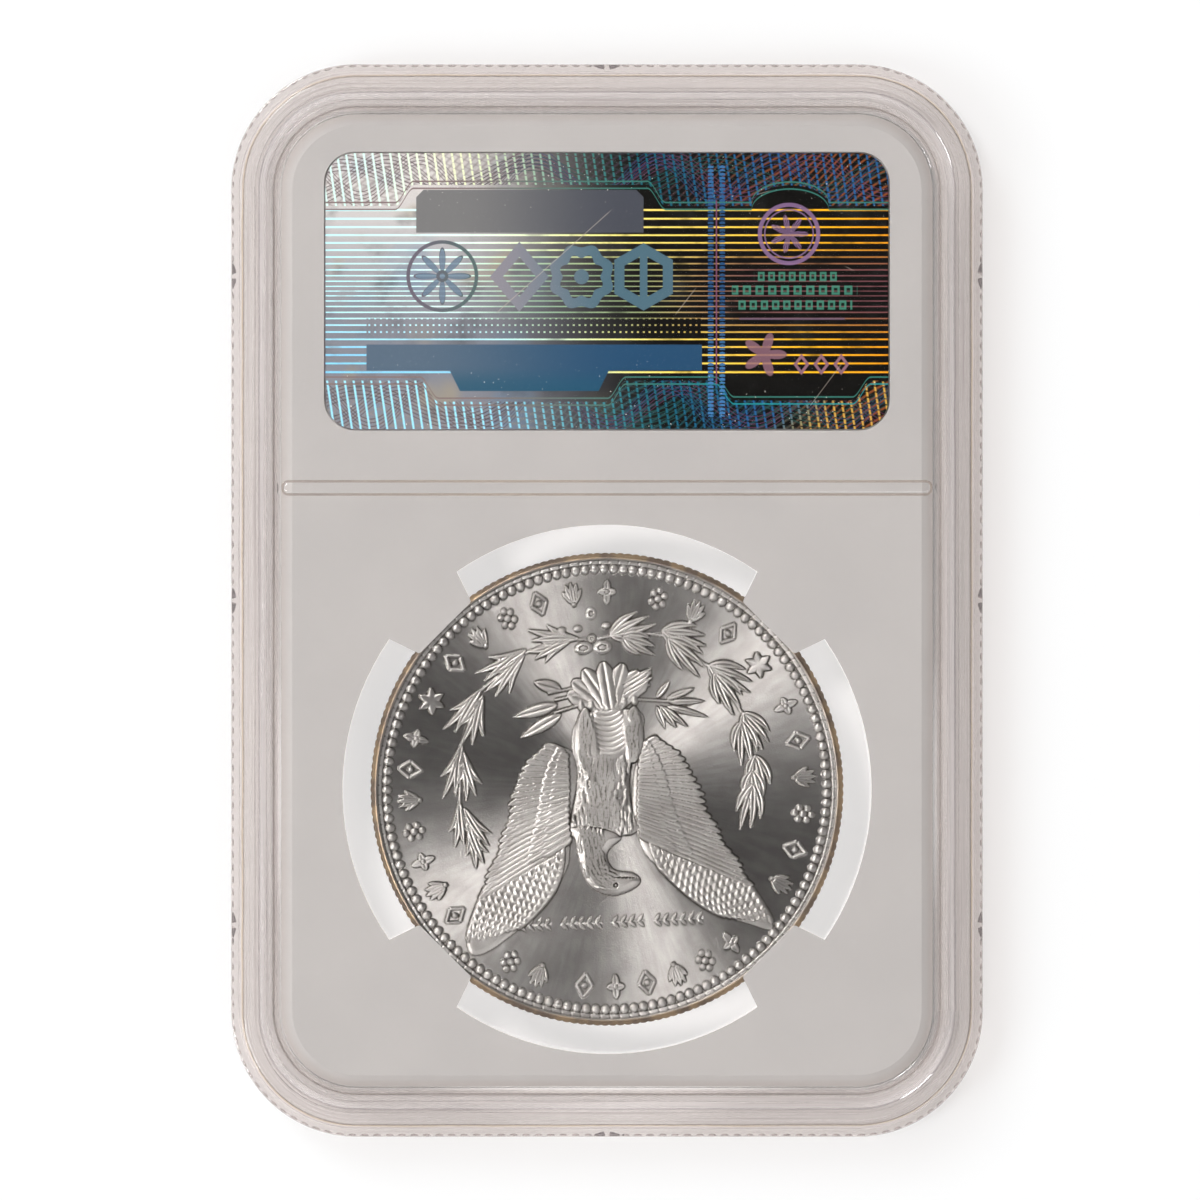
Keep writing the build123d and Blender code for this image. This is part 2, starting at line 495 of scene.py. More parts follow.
def shell_mesh(name, outside, inside, window, direction):
    """One shell: its frame swept round the outline, its window plate and its divider bar."""
    shell = bmesh.new()
    sweep = shell.loops.layers.uv.new("sweep")
    window_edge, cavity_edge = sweep_frame(shell, sweep, outside, inside, direction)
    bar_foot, bar_top = raise_bar(shell, sweep, window, direction)
    edges = []
    for loop in (window_edge, bar_foot):
        for pair in zip(loop, loop[1:] + loop[:1]):
            edges.append(shell.edges.get(pair) or shell.edges.new(pair))
    filled = bmesh.ops.triangle_fill(shell, edges=edges, use_beauty=True)["geom"]
    plates = [face for face in filled if isinstance(face, bmesh.types.BMFace)]
    plates += [shell.faces.new(bar_top), shell.faces.new(cavity_edge)]
    for face in plates:
        for loop in face.loops:
            loop[sweep].uv = PLAIN
    bmesh.ops.recalc_face_normals(shell, faces=shell.faces)
    shell.faces.index_update()
    flat = [face.index for face in plates]
    mesh = bpy.data.meshes.new(name)
    shell.to_mesh(mesh)
    shell.free()
    mesh.set_sharp_from_angle(angle=math.radians(35))
    for index in flat:
        mesh.polygons[index].use_smooth = False
    return add_object(name, mesh)


def clear_plastic():
    """Polished clear polystyrene: warm and streaked along the frame, with painted amber and dark shade lines at the
    frame's steps.
    """
    material, tree, shader = new_material("clear_shell")
    nodes, links = tree.nodes, tree.links
    set_inputs(shader, Roughness=0.02, IOR=1.55)
    uv = nodes.new("ShaderNodeUVMap")
    uv.uv_map = "sweep"
    split = nodes.new("ShaderNodeSeparateXYZ")
    links.new(uv.outputs["UV"], split.inputs["Vector"])
    along = Field(tree, split.outputs["X"]) * 100
    inset = Field(tree, split.outputs["Y"]) * 10
    streaks = clouds(along * 0.045, inset * 9, 1.0, 4)
    wander = clouds(along * 0.16, inset * 0.4, 1.0, 3)
    # Painted shade: dark lines at the rim's foot (inset 1.0), at the end of its top (2.25) and before the window
    # (3.6), with an amber line beside the first.
    colour = ramp((inset + (wander - 0.5) * 0.22) / 4, (
        (0.0, (0.88, 0.80, 0.77)), (0.2, (0.88, 0.79, 0.76)), (0.228, (0.84, 0.66, 0.46)),
        (0.25, (0.40, 0.33, 0.29)), (0.275, (0.71, 0.64, 0.61)), (0.54, (0.71, 0.64, 0.61)),
        (0.563, (0.42, 0.37, 0.37)), (0.592, (0.80, 0.73, 0.71)), (0.80, (0.70, 0.63, 0.60)),
        (0.90, (0.56, 0.49, 0.46)), (0.97, (0.80, 0.75, 0.73)), (1.0, (0.97, 0.966, 0.964)),
    ))
    # Painted shade on the fluted ledge, and near-black painted shade on the notches' ledge.
    colour = blend(colour, (0.66, 0.59, 0.58), 1 - smooth(inset, -0.3, -0.1))
    colour = blend(colour, (0.13, 0.115, 0.125), 1 - smooth(inset, -0.8, -0.6))
    near = 1 - smooth(inset, 3.6, 4.0)
    colour = blend(colour, (0.44, 0.38, 0.37), smooth(streaks, 0.52, 0.74) * near * smooth(inset, 0.9, 1.1))
    plug(colour, shader.inputs["Base Color"])
    haze = near * (smooth(inset, 0.4, 0.8) * 0.24 + 0.08) * (smooth(streaks, 0.3, 0.7) * 0.5 + 0.75)
    plug(1 - haze, shader.inputs["Transmission Weight"])
    roughen(tree, streaks * near, 0.25, 0.02, shader)
    through = nodes.new("ShaderNodeBsdfTransparent")
    through.inputs["Color"].default_value = (0.95, 0.94, 0.935, 1)
    path = nodes.new("ShaderNodeLightPath")
    surface = shader.outputs["BSDF"]
    for ray in ("Is Diffuse Ray", "Is Shadow Ray"):
        mix = nodes.new("ShaderNodeMixShader")
        links.new(path.outputs[ray], mix.inputs["Fac"])
        links.new(surface, mix.inputs[1])
        links.new(through.outputs["BSDF"], mix.inputs[2])
        surface = mix.outputs["Shader"]
    links.new(surface, nodes["Material Output"].inputs["Surface"])
    return material


def build_shells():
    """The two clear shells, in place of their plain CAD nodes."""
    plastic = clear_plastic()
    outside, inside = rear_profile()
    rear = shell_mesh("rear_shell_clear", outside, inside, SLAB_TOP - WINDOW_RECESS, 1)
    outside, inside = front_profile()
    front = shell_mesh("front_shell_clear", outside, inside, WINDOW_RECESS, -1)
    for piece, node in ((rear, "rear_shell"), (front, "front_shell")):
        piece.data.materials.append(plastic)
        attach(piece, "holder")
        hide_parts(node)


# ---- Insert --------------------------------------------------------------------------------------------


def upright_faces(tree):
    """1 on a piece's upright faces, 0 on its level ones."""
    geometry = tree.nodes.new("ShaderNodeNewGeometry")
    split = tree.nodes.new("ShaderNodeSeparateXYZ")
    tree.links.new(geometry.outputs["True Normal"], split.inputs["Vector"])
    return 1 - smooth(absolute(Field(tree, split.outputs["Z"])), 0.3, 0.7)


def insert_material():
    """Soft white moulding: satin, mottled, with painted shade along its edge and a painted glow on the walls of its
    coin opening.
    """
    material, tree, shader = new_material("white_insert")
    x, y = places(tree)
    half_x, half_y = (insert_high - insert_low)[:2] / 2
    corner = CORNER - FRAME_INSET
    over_x = absolute(x) - float(half_x - corner)
    over_y = absolute(y) - float(half_y - corner)
    out_x, out_y = larger(over_x, 0), larger(over_y, 0)
    inset = corner - root(out_x * out_x + out_y * out_y) - smaller(larger(over_x, over_y), 0)
    mottle = clouds(x, y, 0.09, 3)
    colour = blend((0.55, 0.527, 0.512), (0.526, 0.505, 0.492), smooth(mottle, 0.35, 0.65))
    # Painted shade: darker within 0.8 mm of the insert's outer edge.
    edge = 1 - smooth(inset, 0.1, 0.8)
    colour = blend(colour, (0.50, 0.46, 0.44), edge)
    plug(colour, shader.inputs["Base Color"])
    set_inputs(shader, Roughness=0.55, Emission_Color=(1.0, 0.985, 0.97, 1))
    # Painted glow: the coin opening's upright walls give out light, though no lamp is there.
    painted_glow_zone = smooth(inset, 1.0, 2.0) * (1 - smooth(y, 7.0, 9.0))
    plug(upright_faces(tree) * painted_glow_zone * 0.6, shader.inputs["Emission Strength"])
    roughen(tree, clouds(x, y, 6.0, 3), 0.2, 0.01, shader)
    return material


def paint_node(name, material):
    """Puts a material on a CAD node's own slots."""
    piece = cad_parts[name]
    if not piece.material_slots:
        piece.data.materials.append(material)
    for slot in piece.material_slots:
        slot.material = material


# ---- Coin: struck relief --------------------------------------------------------------------------------

COIN_RADIUS = 19.05
COIN_TURN = 186.4
BEAD_COUNT = 145
BEAD_RADIUS = 17.74


class Relief:
    """A struck face: heights in millimetres over the field at a set of points, and how frosted each is."""

    def __init__(self, x, y):
        self.x, self.y = x, y
        self.height = np.zeros_like(x)
        self.frost = np.zeros_like(x)
        self.frosting = 1.0

    def near(self, centre, reach):
        """Indices of the points within a square round a centre."""
        close = (np.abs(self.x - centre[0]) < reach) & (np.abs(self.y - centre[1]) < reach)
        return np.nonzero(close)[0]

    def put(self, index, inside, height, over):
        """Raises the points to a height, or with over, lays the new form on top of what is there."""
        old = self.height[index]
        new = np.where(inside, height if over else np.maximum(old, height), old)
        self.height[index] = new
        self.frost[index] = np.where(inside, self.frosting, self.frost[index])

    def lay(self, form):
        """Lays another relief's raised forms over this one."""
        raised = form.height > 0.01
        self.height = np.where(raised, np.maximum(self.height, form.height), self.height)
        self.frost = np.where(raised, self.frosting, self.frost)

    def beside(self, start, end, reach):
        """Indices of the points near a line, their places along it and across it, and its length."""
        start, end = np.array(start, float), np.array(end, float)
        length = np.linalg.norm(end - start)
        axis = (end - start) / length
        index = self.near((start + end) / 2, length / 2 + reach)
        dx, dy = self.x[index] - start[0], self.y[index] - start[1]
        return index, dx * axis[0] + dy * axis[1], dy * axis[0] - dx * axis[1], length

    def leaf(self, start, end, width, height, bend=0.0, vein=0.4, base=0.0, over=True, blunt=0.0, barbs=0.0):
        """A blade from start to end, bowed sideways by bend, with a vein and slanting barbs."""
        index, run, side, length = self.beside(start, end, width + abs(bend))
        along = run / length
        across = side - bend * 4 * along * (1 - along)
        t = np.clip(along, 0, 1)
        shape = (np.sin(np.pi * t**0.8)) ** (0.75 - 0.45 * blunt)
        if blunt:
            shape = np.maximum(shape, blunt * smooth(t, 0, 0.12) * np.sqrt(np.clip((1 - t) * 6, 0, 1)))
        half = width / 2 * shape
        inside = (along > 0) & (along < 1) & (np.abs(across) < half)
        q = np.abs(across) / np.maximum(half, 1e-6)
        crown = np.sqrt(np.clip(1 - q**2.4, 0, 1))
        groove = 1 - vein * np.exp(-((across / (0.055 + 0.06 * width)) ** 2))
        groove *= 1 - barbs * np.abs(np.sin(np.pi * (along * length / 0.62 + np.abs(across) / width)))
        self.put(index, inside, base + height * (0.35 + 0.65 * crown) * groove, over)

    def dome(self, centre, size, height, over=False):
        """A rounded lump, size being its half axes along X and Y."""
        index = self.near(centre, max(size))
        q = ((self.x[index] - centre[0]) / size[0]) ** 2 + ((self.y[index] - centre[1]) / size[1]) ** 2
        self.put(index, q < 1, height * np.sqrt(np.clip(1 - q, 0, 1)), over)

    def bar(self, start, end, width, height, over=False):
        """A straight raised bar with bevelled sides."""
        index, along, across, length = self.beside(start, end, width)
        edge = np.minimum(width / 2 - np.abs(across), np.minimum(along, length - along))
        self.put(index, edge > 0, height * (0.4 + 0.6 * smooth(edge, 0, 0.16)), over)

    def stroke(self, start, end, width, depth):
        """A slim ridge added to whatever form is already there."""
        start, end = np.array(start, float), np.array(end, float)
        length = np.linalg.norm(end - start)
        axis = (end - start) / length
        index = self.near((start + end) / 2, length / 2 + width)
        dx, dy = self.x[index] - start[0], self.y[index] - start[1]
        along = (dx * axis[0] + dy * axis[1]) / length
        across = (dy * axis[0] - dx * axis[1]) / (width / 2)
        taper = np.sqrt(np.clip(4 * along * (1 - along), 0, 1))
        self.height[index] += depth * taper * np.sqrt(np.clip(1 - across**2, 0, 1)) * (self.height[index] > 0.1)

    def body(self, outline, height, crown, over=False, base=0.3):
        """A filled outline, smoothed through its points, that rises from its edge to its middle."""
        points = rounded_outline(outline)
        centre = (points.max(0) + points.min(0)) / 2
        index = self.near(centre, np.ptp(points, axis=0).max() / 2 + 0.1)
        distance = inside_distance(self.x[index], self.y[index], points)
        rise = height * (base + (1 - base) * np.sqrt(smooth(distance, 0, crown)))
        self.put(index, distance > 0, rise, over)
        return index, distance


def rounded_outline(points, steps=6):
    """A closed Catmull-Rom curve through the given points."""
    p = np.array(points, float)
    out = []
    for i in range(len(p)):
        a, b, c, d = p[i - 1], p[i], p[(i + 1) % len(p)], p[(i + 2) % len(p)]
        for t in np.linspace(0, 1, steps, endpoint=False):
            bow = (2 * a - 5 * b + 4 * c - d) * t**2 + (3 * b - a - 3 * c + d) * t**3
            out.append(0.5 * (2 * b + (c - a) * t + bow))
    return np.array(out)


def curve_point(points, t):
    """A point at t, from 0 to 1, along a polyline of control points."""
    p = np.array(points, float)
    lengths = np.concatenate(([0], np.cumsum(np.linalg.norm(np.diff(p, axis=0), axis=1))))
    s = t * lengths[-1]
    return np.array((np.interp(s, lengths, p[:, 0]), np.interp(s, lengths, p[:, 1])))


def inside_distance(x, y, points):
    """Distance from each point to a closed outline: positive inside it, negative outside."""
    best = np.full(x.shape, 1e9)
    crossings = np.zeros(x.shape, int)
    for (ax, ay), (bx, by) in zip(points, np.roll(points, -1, axis=0)):
        ex, ey = bx - ax, by - ay
        t = np.clip(((x - ax) * ex + (y - ay) * ey) / max(ex * ex + ey * ey, 1e-12), 0, 1)
        best = np.minimum(best, np.hypot(x - ax - ex * t, y - ay - ey * t))
        between = (ay > y) != (by > y)
        step = np.where(between, ax + (y - ay) * ex / (ey if ey else 1e-12), -1e9)
        crossings += between & (x < step)
    return np.where(crossings % 2 == 1, best, -best)


LEFT_WING = [
    (4.3, -3.9), (5.4, -3.4), (6.3, -2.5), (7.2, -1.2), (7.8, 0.6), (8.3, 2.1), (9.0, 3.5), (9.9, 5.5),
    (11.0, 7.4), (12.0, 9.4), (12.6, 11.1), (12.1, 12.1), (10.5, 11.7), (8.0, 10.2), (5.7, 8.3), (4.0, 6.1),
    (3.5, 4.5), (3.6, 3.4), (3.1, 1.6), (2.4, -0.6), (2.2, -2.4), (2.7, -3.5),
]
RIGHT_WING = [
    (-4.5, -3.4), (-5.5, -2.8), (-6.2, -1.7), (-7.0, -0.1), (-7.4, 1.5), (-7.9, 3.4), (-8.6, 5.2),
    (-9.5, 7.0), (-10.9, 9.6), (-11.9, 11.8), (-11.8, 12.7), (-10.1, 12.0), (-7.4, 10.7), (-5.4, 9.0),
    (-3.7, 7.0), (-2.5, 5.5), (-2.1, 4.0), (-1.9, 2.2), (-2.2, -0.4), (-2.7, -2.1), (-3.5, -3.3),
]
BODY = [
    (0.5, -6.3), (1.5, -5.9), (2.2, -5.0), (2.4, -3.5), (2.2, -1.9), (2.5, 0.1), (3.1, 1.9), (3.3, 2.9),
    (2.9, 3.7), (1.1, 3.9), (0.1, 4.5), (-0.7, 3.9), (-1.7, 3.8), (-2.1, 3.2), (-1.8, 1.6), (-1.8, 0.1),
    (-2.2, -1.9), (-3.1, -3.9), (-3.6, -5.4), (-2.6, -6.2),
]
HEAD = [
    (3.2, 2.8), (3.0, 3.7), (2.9, 5.2), (2.6, 6.8), (1.9, 7.9), (0.6, 8.5), (-0.7, 8.4), (-1.7, 7.9),
    (-1.8, 7.4), (-1.2, 6.9), (0.0, 6.6), (0.5, 6.0), (0.6, 5.2), (0.1, 4.6), (-0.7, 4.0), (0.2, 3.3), (1.7, 2.8),
]



def leaf_cluster(relief, base, tip, size, count, fan, side):
    """A spray of olive leaves from one point of a branch."""
    base, tip = np.array(base, float), np.array(tip, float)
    heading = math.atan2(*(tip - base)[::-1])
    reach = np.linalg.norm(tip - base) * size
    order = sorted(range(count), key=lambda i: -abs(i - (count - 1) / 2))
    for i in order:
        spread = (i / (count - 1) - 0.5) * 2
        angle = heading + math.radians(fan) * spread
        length = reach * (1.0 - 0.28 * abs(spread) + 0.08 * (i % 2))
        foot = base + (tip - base) * 0.10 * (1 - abs(spread))
        end = foot + length * np.array((math.cos(angle), math.sin(angle)))
        relief.leaf(foot, end, 0.58, 0.18, bend=0.28 * spread * side, vein=0.5, base=0.03)


def wreath(relief):
    """Two olive branches that rise from a bow on either side of the eagle."""
    left = [((0.9, -12.3), (5.0, -13.0)), ((1.6, -12.2), (5.0, -11.3)), ((5.2, -11.9), (9.3, -10.0)),
            ((5.4, -11.5), (8.6, -8.5)), ((9.2, -9.1), (12.2, -5.9)), ((9.1, -8.6), (10.9, -4.6)),
            ((11.2, -4.9), (12.7, -0.6)), ((11.2, -4.4), (10.9, -0.3)), ((11.9, -0.3), (12.3, 3.4)),
            ((11.6, 0.2), (10.2, 3.9)), ((11.4, 1.6), (10.8, 5.2))]
    right = [((-1.6, -12.3), (-5.3, -13.2)), ((-2.6, -12.1), (-5.2, -10.6)), ((-5.8, -12.2), (-9.4, -11.0)),
             ((-6.2, -11.6), (-8.8, -8.4)), ((-9.2, -9.0), (-12.6, -6.8)), ((-9.6, -8.4), (-11.2, -4.9)),
             ((-11.6, -4.9), (-13.2, -1.9)), ((-11.4, -4.3), (-11.4, -0.6)), ((-12.2, -1.4), (-12.2, 2.1)),
             ((-11.8, -0.2), (-11.5, 2.9)), ((-11.8, 0.8), (-10.7, 4.6))]
    for base, tip in left:
        leaf_cluster(relief, base, tip, 0.95, 4, 20, -1)
    for base, tip in right:
        leaf_cluster(relief, base, tip, 0.95, 4, 20, 1)
    for points in (
        [(0.3, -12.2), (3.0, -12.3), (5.4, -11.6), (9.2, -9.0), (11.3, -4.8), (11.9, -0.2), (11.4, 2.0)],
        [(-0.6, -12.1), (-3.2, -12.4), (-6.0, -11.8), (-9.4, -8.8), (-11.6, -4.8), (-12.0, -0.6), (-11.6, 1.6)],
    ):
        for a, b in zip(points, points[1:]):
            relief.bar(a, b, 0.2, 0.14)
    for x, y, a, b in ((0.6, -11.5, 0.75, 0.5), (-0.9, -11.4, 0.75, 0.55), (-0.15, -12.2, 0.35, 0.35)):
        relief.dome((x, y), (a, b), 0.22)
        relief.dome((x, y), (a * 0.5, b * 0.45), 0.08, over=True)
    for x in (0.9, 2.2, -1.4):
        relief.dome((x, -13.1), (0.36, 0.26), 0.18)


def wing(relief, outline, inner, outer, tips, side):
    """A raised wing: long barbed primaries, a row of narrow ribs and two rows of rounded coverts."""
    spread = Relief(relief.x, relief.y)
    index, _ = spread.body(outline, 0.16, 0.5, base=0.5)
    for i in range(10):
        t = i / 9
        start = curve_point(outer, 0.94) * (1 - t) * 0.95 + curve_point(inner, 0.9) * (0.05 + 0.95 * t)
        end = np.array(tips[0]) * (1 - t) + np.array(tips[1]) * t
        bend = side * (0.5 - 1.5 * t)
        spread.leaf(start, end, 0.95, 0.15, bend, vein=0.25, base=0.08 + 0.012 * i, blunt=0.7, barbs=0.45)
    edge = smooth(inside_distance(spread.x[index], spread.y[index], rounded_outline(outline)), -0.22, -0.05)
    spread.height[index] *= edge
    for i in reversed(range(23)):
        t = i / 22
        start, end = curve_point(inner, t), curve_point(outer, t)
        end = end + (end - start) * (0.05 + 0.03 * math.sin(5 * i))
        spread.leaf(start, end, 0.66, 0.15, bend=0.12 * side, vein=0.22, base=0.1, blunt=1.0, barbs=0.12)
    for row, (near, far) in enumerate(((0.2, 0.46), (-0.12, 0.27))):
        for i in reversed(range(14)):
            t = (i + 0.5 * row) / 14
            root_point, tip = curve_point(inner, t), curve_point(outer, t)
            start, end = root_point + (tip - root_point) * near, root_point + (tip - root_point) * far
            spread.leaf(start, end, 0.72, 0.13, vein=0.3, base=0.16 + 0.02 * row, blunt=1.0)
    relief.lay(spread)


def plumage(relief, spots, spread, length, width, depth, count, seed):
    """Short ragged feathers that follow a line of spots, scattered to either side of it."""
    rng = np.random.default_rng(seed)
    for i in range(count):
        t = rng.uniform(0.0, 0.97)
        place, ahead = curve_point(spots, t), curve_point(spots, min(t + 0.03, 1))
        heading = math.atan2(*(ahead - place)[::-1]) + rng.uniform(-0.25, 0.25)
        place = place + rng.uniform(-1, 1) * spread * np.array((-math.sin(heading), math.cos(heading)))
        reach = length * rng.uniform(0.7, 1.3) * toward(heading)
        relief.stroke(place - reach / 2, place + reach / 2, width, depth)


def eagle(relief):
    """Raised wings, feathered body, a head turned to one side, tail fan, arrows and a sprig."""
    wing(
        relief, LEFT_WING, [(3.0, -3.2), (3.2, -2.0), (3.4, -0.6), (3.7, 1.0), (4.0, 2.6), (4.1, 4.2)],
        [(4.6, -4.0), (6.0, -2.9), (7.0, -1.5), (7.6, 0.1), (8.2, 2.0), (9.1, 4.0), (10.9, 7.4)],
        ((12.5, 11.0), (8.4, 10.4)), -1,
    )
    wing(
        relief, RIGHT_WING, [(-3.3, -3.0), (-3.1, -1.8), (-3.0, -0.2), (-2.9, 1.6), (-2.9, 3.2), (-3.1, 4.6)],
        [(-4.6, -3.6), (-5.9, -2.4), (-6.9, -0.6), (-7.4, 1.2), (-7.9, 3.2), (-8.6, 5.0), (-10.5, 8.8)],
        ((-12.0, 12.2), (-7.9, 11.2)), 1,
    )
    tail_root = np.array((-1.0, -6.4))
    tips = [(2.3, -8.0), (-4.2, -8.4), (1.8, -9.0), (-3.6, -9.2), (0.8, -9.8), (-2.4, -9.9), (-0.8, -10.2)]
    for i, tip in enumerate(tips):
        relief.leaf(tail_root, tip, 1.25, 0.16, vein=0.4, base=0.04 + 0.012 * i, blunt=1.0)
    trunk = Relief(relief.x, relief.y)
    index, distance = trunk.body(BODY, 0.3, 1.7)
    between = smooth(1.25 - np.abs(trunk.x[index] + 0.75), 0, 0.3) * smooth(-trunk.y[index], 2.6, 3.6)
    arcs = trunk.y[index] + 0.35 * (trunk.x[index] + 0.75) ** 2
    coverts = 0.17 + 0.06 * np.abs(np.sin(np.pi * arcs / 0.42))
    trunk.height[index] += (coverts - trunk.height[index]) * between * (distance > 0)
    plumage(trunk, ((0.4, 4.2), (0.4, 1.0), (0.0, -2.6)), 2.9, 0.85, 0.26, 0.07, 260, 3)
    for side, start, end in ((1, (1.6, -1.9), (1.0, -6.7)), (-1, (-2.2, -1.9), (-2.9, -6.4))):
        trunk.leaf(start, end, 1.6, 0.3, bend=0.1 * side, vein=0.0, over=False, blunt=0.6)
        plumage(trunk, (start, end), 0.5, 0.95, 0.24, 0.07, 40, 11 + side)
    crest = Relief(relief.x, relief.y)
    crest.body(HEAD, 0.32, 0.8)
    plumage(crest, ((1.7, 2.8), (1.8, 5.2), (1.4, 6.9), (0.2, 7.7)), 1.0, 0.75, 0.2, 0.07, 130, 5)
    relief.height = np.where(trunk.height > 0.01, trunk.height, relief.height)
    relief.height = np.where(crest.height > 0.01, crest.height, relief.height)
    relief.frost = np.where((trunk.height > 0.01) | (crest.height > 0.01), relief.frosting, relief.frost)
    relief.dome((0.15, 7.75), (0.22, 0.2), 0.12, over=True)
    relief.dome((0.15, 7.75), (0.12, 0.12), 0.4)
    relief.leaf((0.3, 7.1), (-1.7, 7.35), 0.12, 0.04, vein=0, over=True)
    for start, end in (((-4.6, -9.0), (3.9, -8.2)), ((-4.6, -8.5), (3.4, -7.6)), ((-4.4, -8.0), (3.6, -6.6))):
        relief.bar(start, end, 0.2, 0.26)
    for base, tip in (((2.8, -8.4), (4.9, -9.2)), ((3.2, -7.2), (6.8, -6.6)), ((3.0, -6.4), (6.4, -4.9))):
        relief.leaf(base, tip, 0.95, 0.2, vein=0.5, base=0.03)
    for i in range(3):
        lift = np.array((0.0, 0.35 * i))
        start, end = np.array((-2.2, -8.2)) + lift, np.array((-4.7, -9.3)) + lift
        relief.leaf(start, end, 0.5, 0.2, vein=0.5, base=0.06)
    relief.bar((-2.2, -7.1), (-6.3, -6.4), 0.2, 0.2)
    for base, tip in (((-4.8, -6.9), (-6.0, -8.1)), ((-5.6, -6.7), (-7.9, -7.3)), ((-5.8, -6.4), (-8.6, -6.2)),
                      ((-5.6, -6.1), (-8.7, -4.9)), ((-5.2, -6.1), (-7.0, -4.3)), ((-4.7, -6.2), (-5.2, -4.4)),
                      ((-5.0, -6.2), (-6.1, -4.3))):
        relief.leaf(base, tip, 0.5, 0.18, vein=0.5, base=0.03)
    for x in (1.3, 0.5, -2.2, -3.0):
        relief.dome((x, -6.9), (0.3, 0.45), 0.3)


def legend_mark(relief, angle, kind):
    """One ornament of the ring: a quatrefoil, a pearl in a lozenge, a palmette or a ring of pearls."""
    out = toward(math.radians(angle))
    side = np.array((-out[1], out[0]))

    def place(u, v):
        return out * (15.9 + v) + side * u

    if kind == 0:
        for u, v in ((0, 0.98), (0, -0.98), (0.72, 0), (-0.72, 0)):
            relief.leaf(place(0, 0), place(u, v), 0.58, 0.13, vein=0.35, base=0.03, blunt=0.5)
        relief.dome(place(0, 0), (0.22, 0.22), 0.2, over=True)
    elif kind == 1:
        corners = ((-0.66, 0), (0, 0.95), (0.66, 0), (0, -0.95))
        for a, b in zip(corners, corners[1:] + corners[:1]):
            relief.bar(place(*a), place(*b), 0.27, 0.15)
        relief.dome(place(0, 0), (0.24, 0.24), 0.18)
    elif kind == 2:
        for u, v in ((-0.78, 0.35), (0.78, 0.35), (-0.45, 0.85), (0.45, 0.85), (0, 1.0)):
            relief.leaf(place(0, -0.75), place(u, v), 0.46, 0.14, vein=0.35, base=0.03, blunt=0.4)
        relief.dome(place(0, -0.8), (0.2, 0.2), 0.2, over=True)
    else:
        for petal in range(6):
            bearing = math.radians(60 * petal)
            relief.dome(place(0.52 * math.sin(bearing), 0.66 * math.cos(bearing)), (0.27, 0.27), 0.17)
        relief.dome(place(0, 0), (0.3, 0.3), 0.2, over=True)


def star(relief, turn, radius, reach):
    """A six-pointed star whose centre lies at an angle in radians and a radius."""
    centre = toward(turn) * radius
    for point in range(6):
        tip = centre + reach * toward(math.radians(point * 60) + turn)
        relief.leaf(centre, tip, 0.62, 0.17, vein=0.0, base=0.03, over=False)


def legend(relief):
    """Ornaments in groups round the edge, between two six-pointed stars, and a small vine over the head."""
    groups = ((25, 6, -10.7), (-51, 6, -9.1), (-110, 2, -9.2), (219.7, 7, -9.1), (140.3, 6, -10.06), (75, 3, -11.4))
    kinds = (0, 1, 2, 3, 1, 2, 0, 3, 2, 1)
    step = 0
    for start, count, pitch in groups:
        for i in range(count):
            legend_mark(relief, start + i * pitch - COIN_TURN, kinds[step % len(kinds)])
            step += 1
    for angle in (213, 327):
        star(relief, math.radians(angle), 15.8, 1.1)
    for i in range(22):
        if i in (4, 10, 15):
            continue
        x = 8.0 - i * 0.68
        y = 10.15 + i * 0.048
        relief.leaf((x + 0.2, y), (x - 0.25, y + 0.5), 0.26, 0.1, vein=0.3, base=0.02)
        relief.leaf((x + 0.2, y), (x - 0.25, y - 0.5), 0.26, 0.1, vein=0.3, base=0.02)
        relief.bar((x + 0.34, y), (x - 0.34, y + 0.03), 0.13, 0.07)
    relief.dome((-0.3, -14.2), (0.42, 0.5), 0.14)
    relief.dome((-0.3, -14.2), (0.2, 0.24), 0.03, over=True)


def contact_marks(relief):
    """Small nicks and hairlines in the open fields."""
    rng = np.random.default_rng(21)
    for _ in range(150):
        radius, bearing = 16.5 * math.sqrt(rng.uniform()), rng.uniform(0, 2 * math.pi)
        start = radius * toward(bearing)
        heading, length = rng.uniform(0, math.pi), rng.uniform(0.15, 0.7)
        end = start + length * toward(heading)
        relief.bar(start, end, 0.09, 0.018)


def rim_and_beads(relief):
    """The raised rim, a low toothed band inside it and a ring of beads inside that."""
    radius = np.hypot(relief.x, relief.y)
    angle = np.arctan2(relief.y, relief.x)
    phase = (angle / (2 * np.pi) * BEAD_COUNT) % 1 - 0.5
    across = phase * 2 * np.pi * BEAD_RADIUS / BEAD_COUNT
    q = (across / 0.345) ** 2 + ((radius - BEAD_RADIUS) / 0.4) ** 2
    bead = 0.21 * np.sqrt(np.clip(1 - q, 0, 1))
    teeth = 0.15 * smooth(radius, 18.08, 18.18) * (1 - 0.3 * smooth(np.abs(phase), 0.34, 0.46))
    rim = 0.28 * smooth(radius, 18.4, 18.54) - 0.22 * smooth(radius, 18.64, 18.98)
    border = np.maximum(bead, np.where(radius < 18.4, teeth, np.maximum(rim, teeth * (radius < 18.54))))
    relief.height = np.maximum(relief.height, border)
    relief.frost = np.where(border > 0.01, 0.45, relief.frost)


def strike_reverse(x, y):
    """Heights and frosting of the rear face, for points turned into the eagle's own upright frame."""
    turn = math.radians(-COIN_TURN)
    relief = Relief(
        x * math.cos(turn) - y * math.sin(turn),
        x * math.sin(turn) + y * math.cos(turn),
    )
    relief.frosting = 0.3
    legend(relief)
    relief.frosting = 0.6
    wreath(relief)
    relief.frosting = 0.8
    eagle(relief)
    relief.frosting = 0.2
    contact_marks(relief)
    rim_and_beads(relief)
    return relief


# ---- Coin: the piece ------------------------------------------------------------------------------------

REVERSE_CELLS = 600
OBVERSE_CELLS = REVERSE_CELLS // 2
FIELD_DEPTH = 0.30
REED_COUNT = 189
REED_DEPTH = 0.12


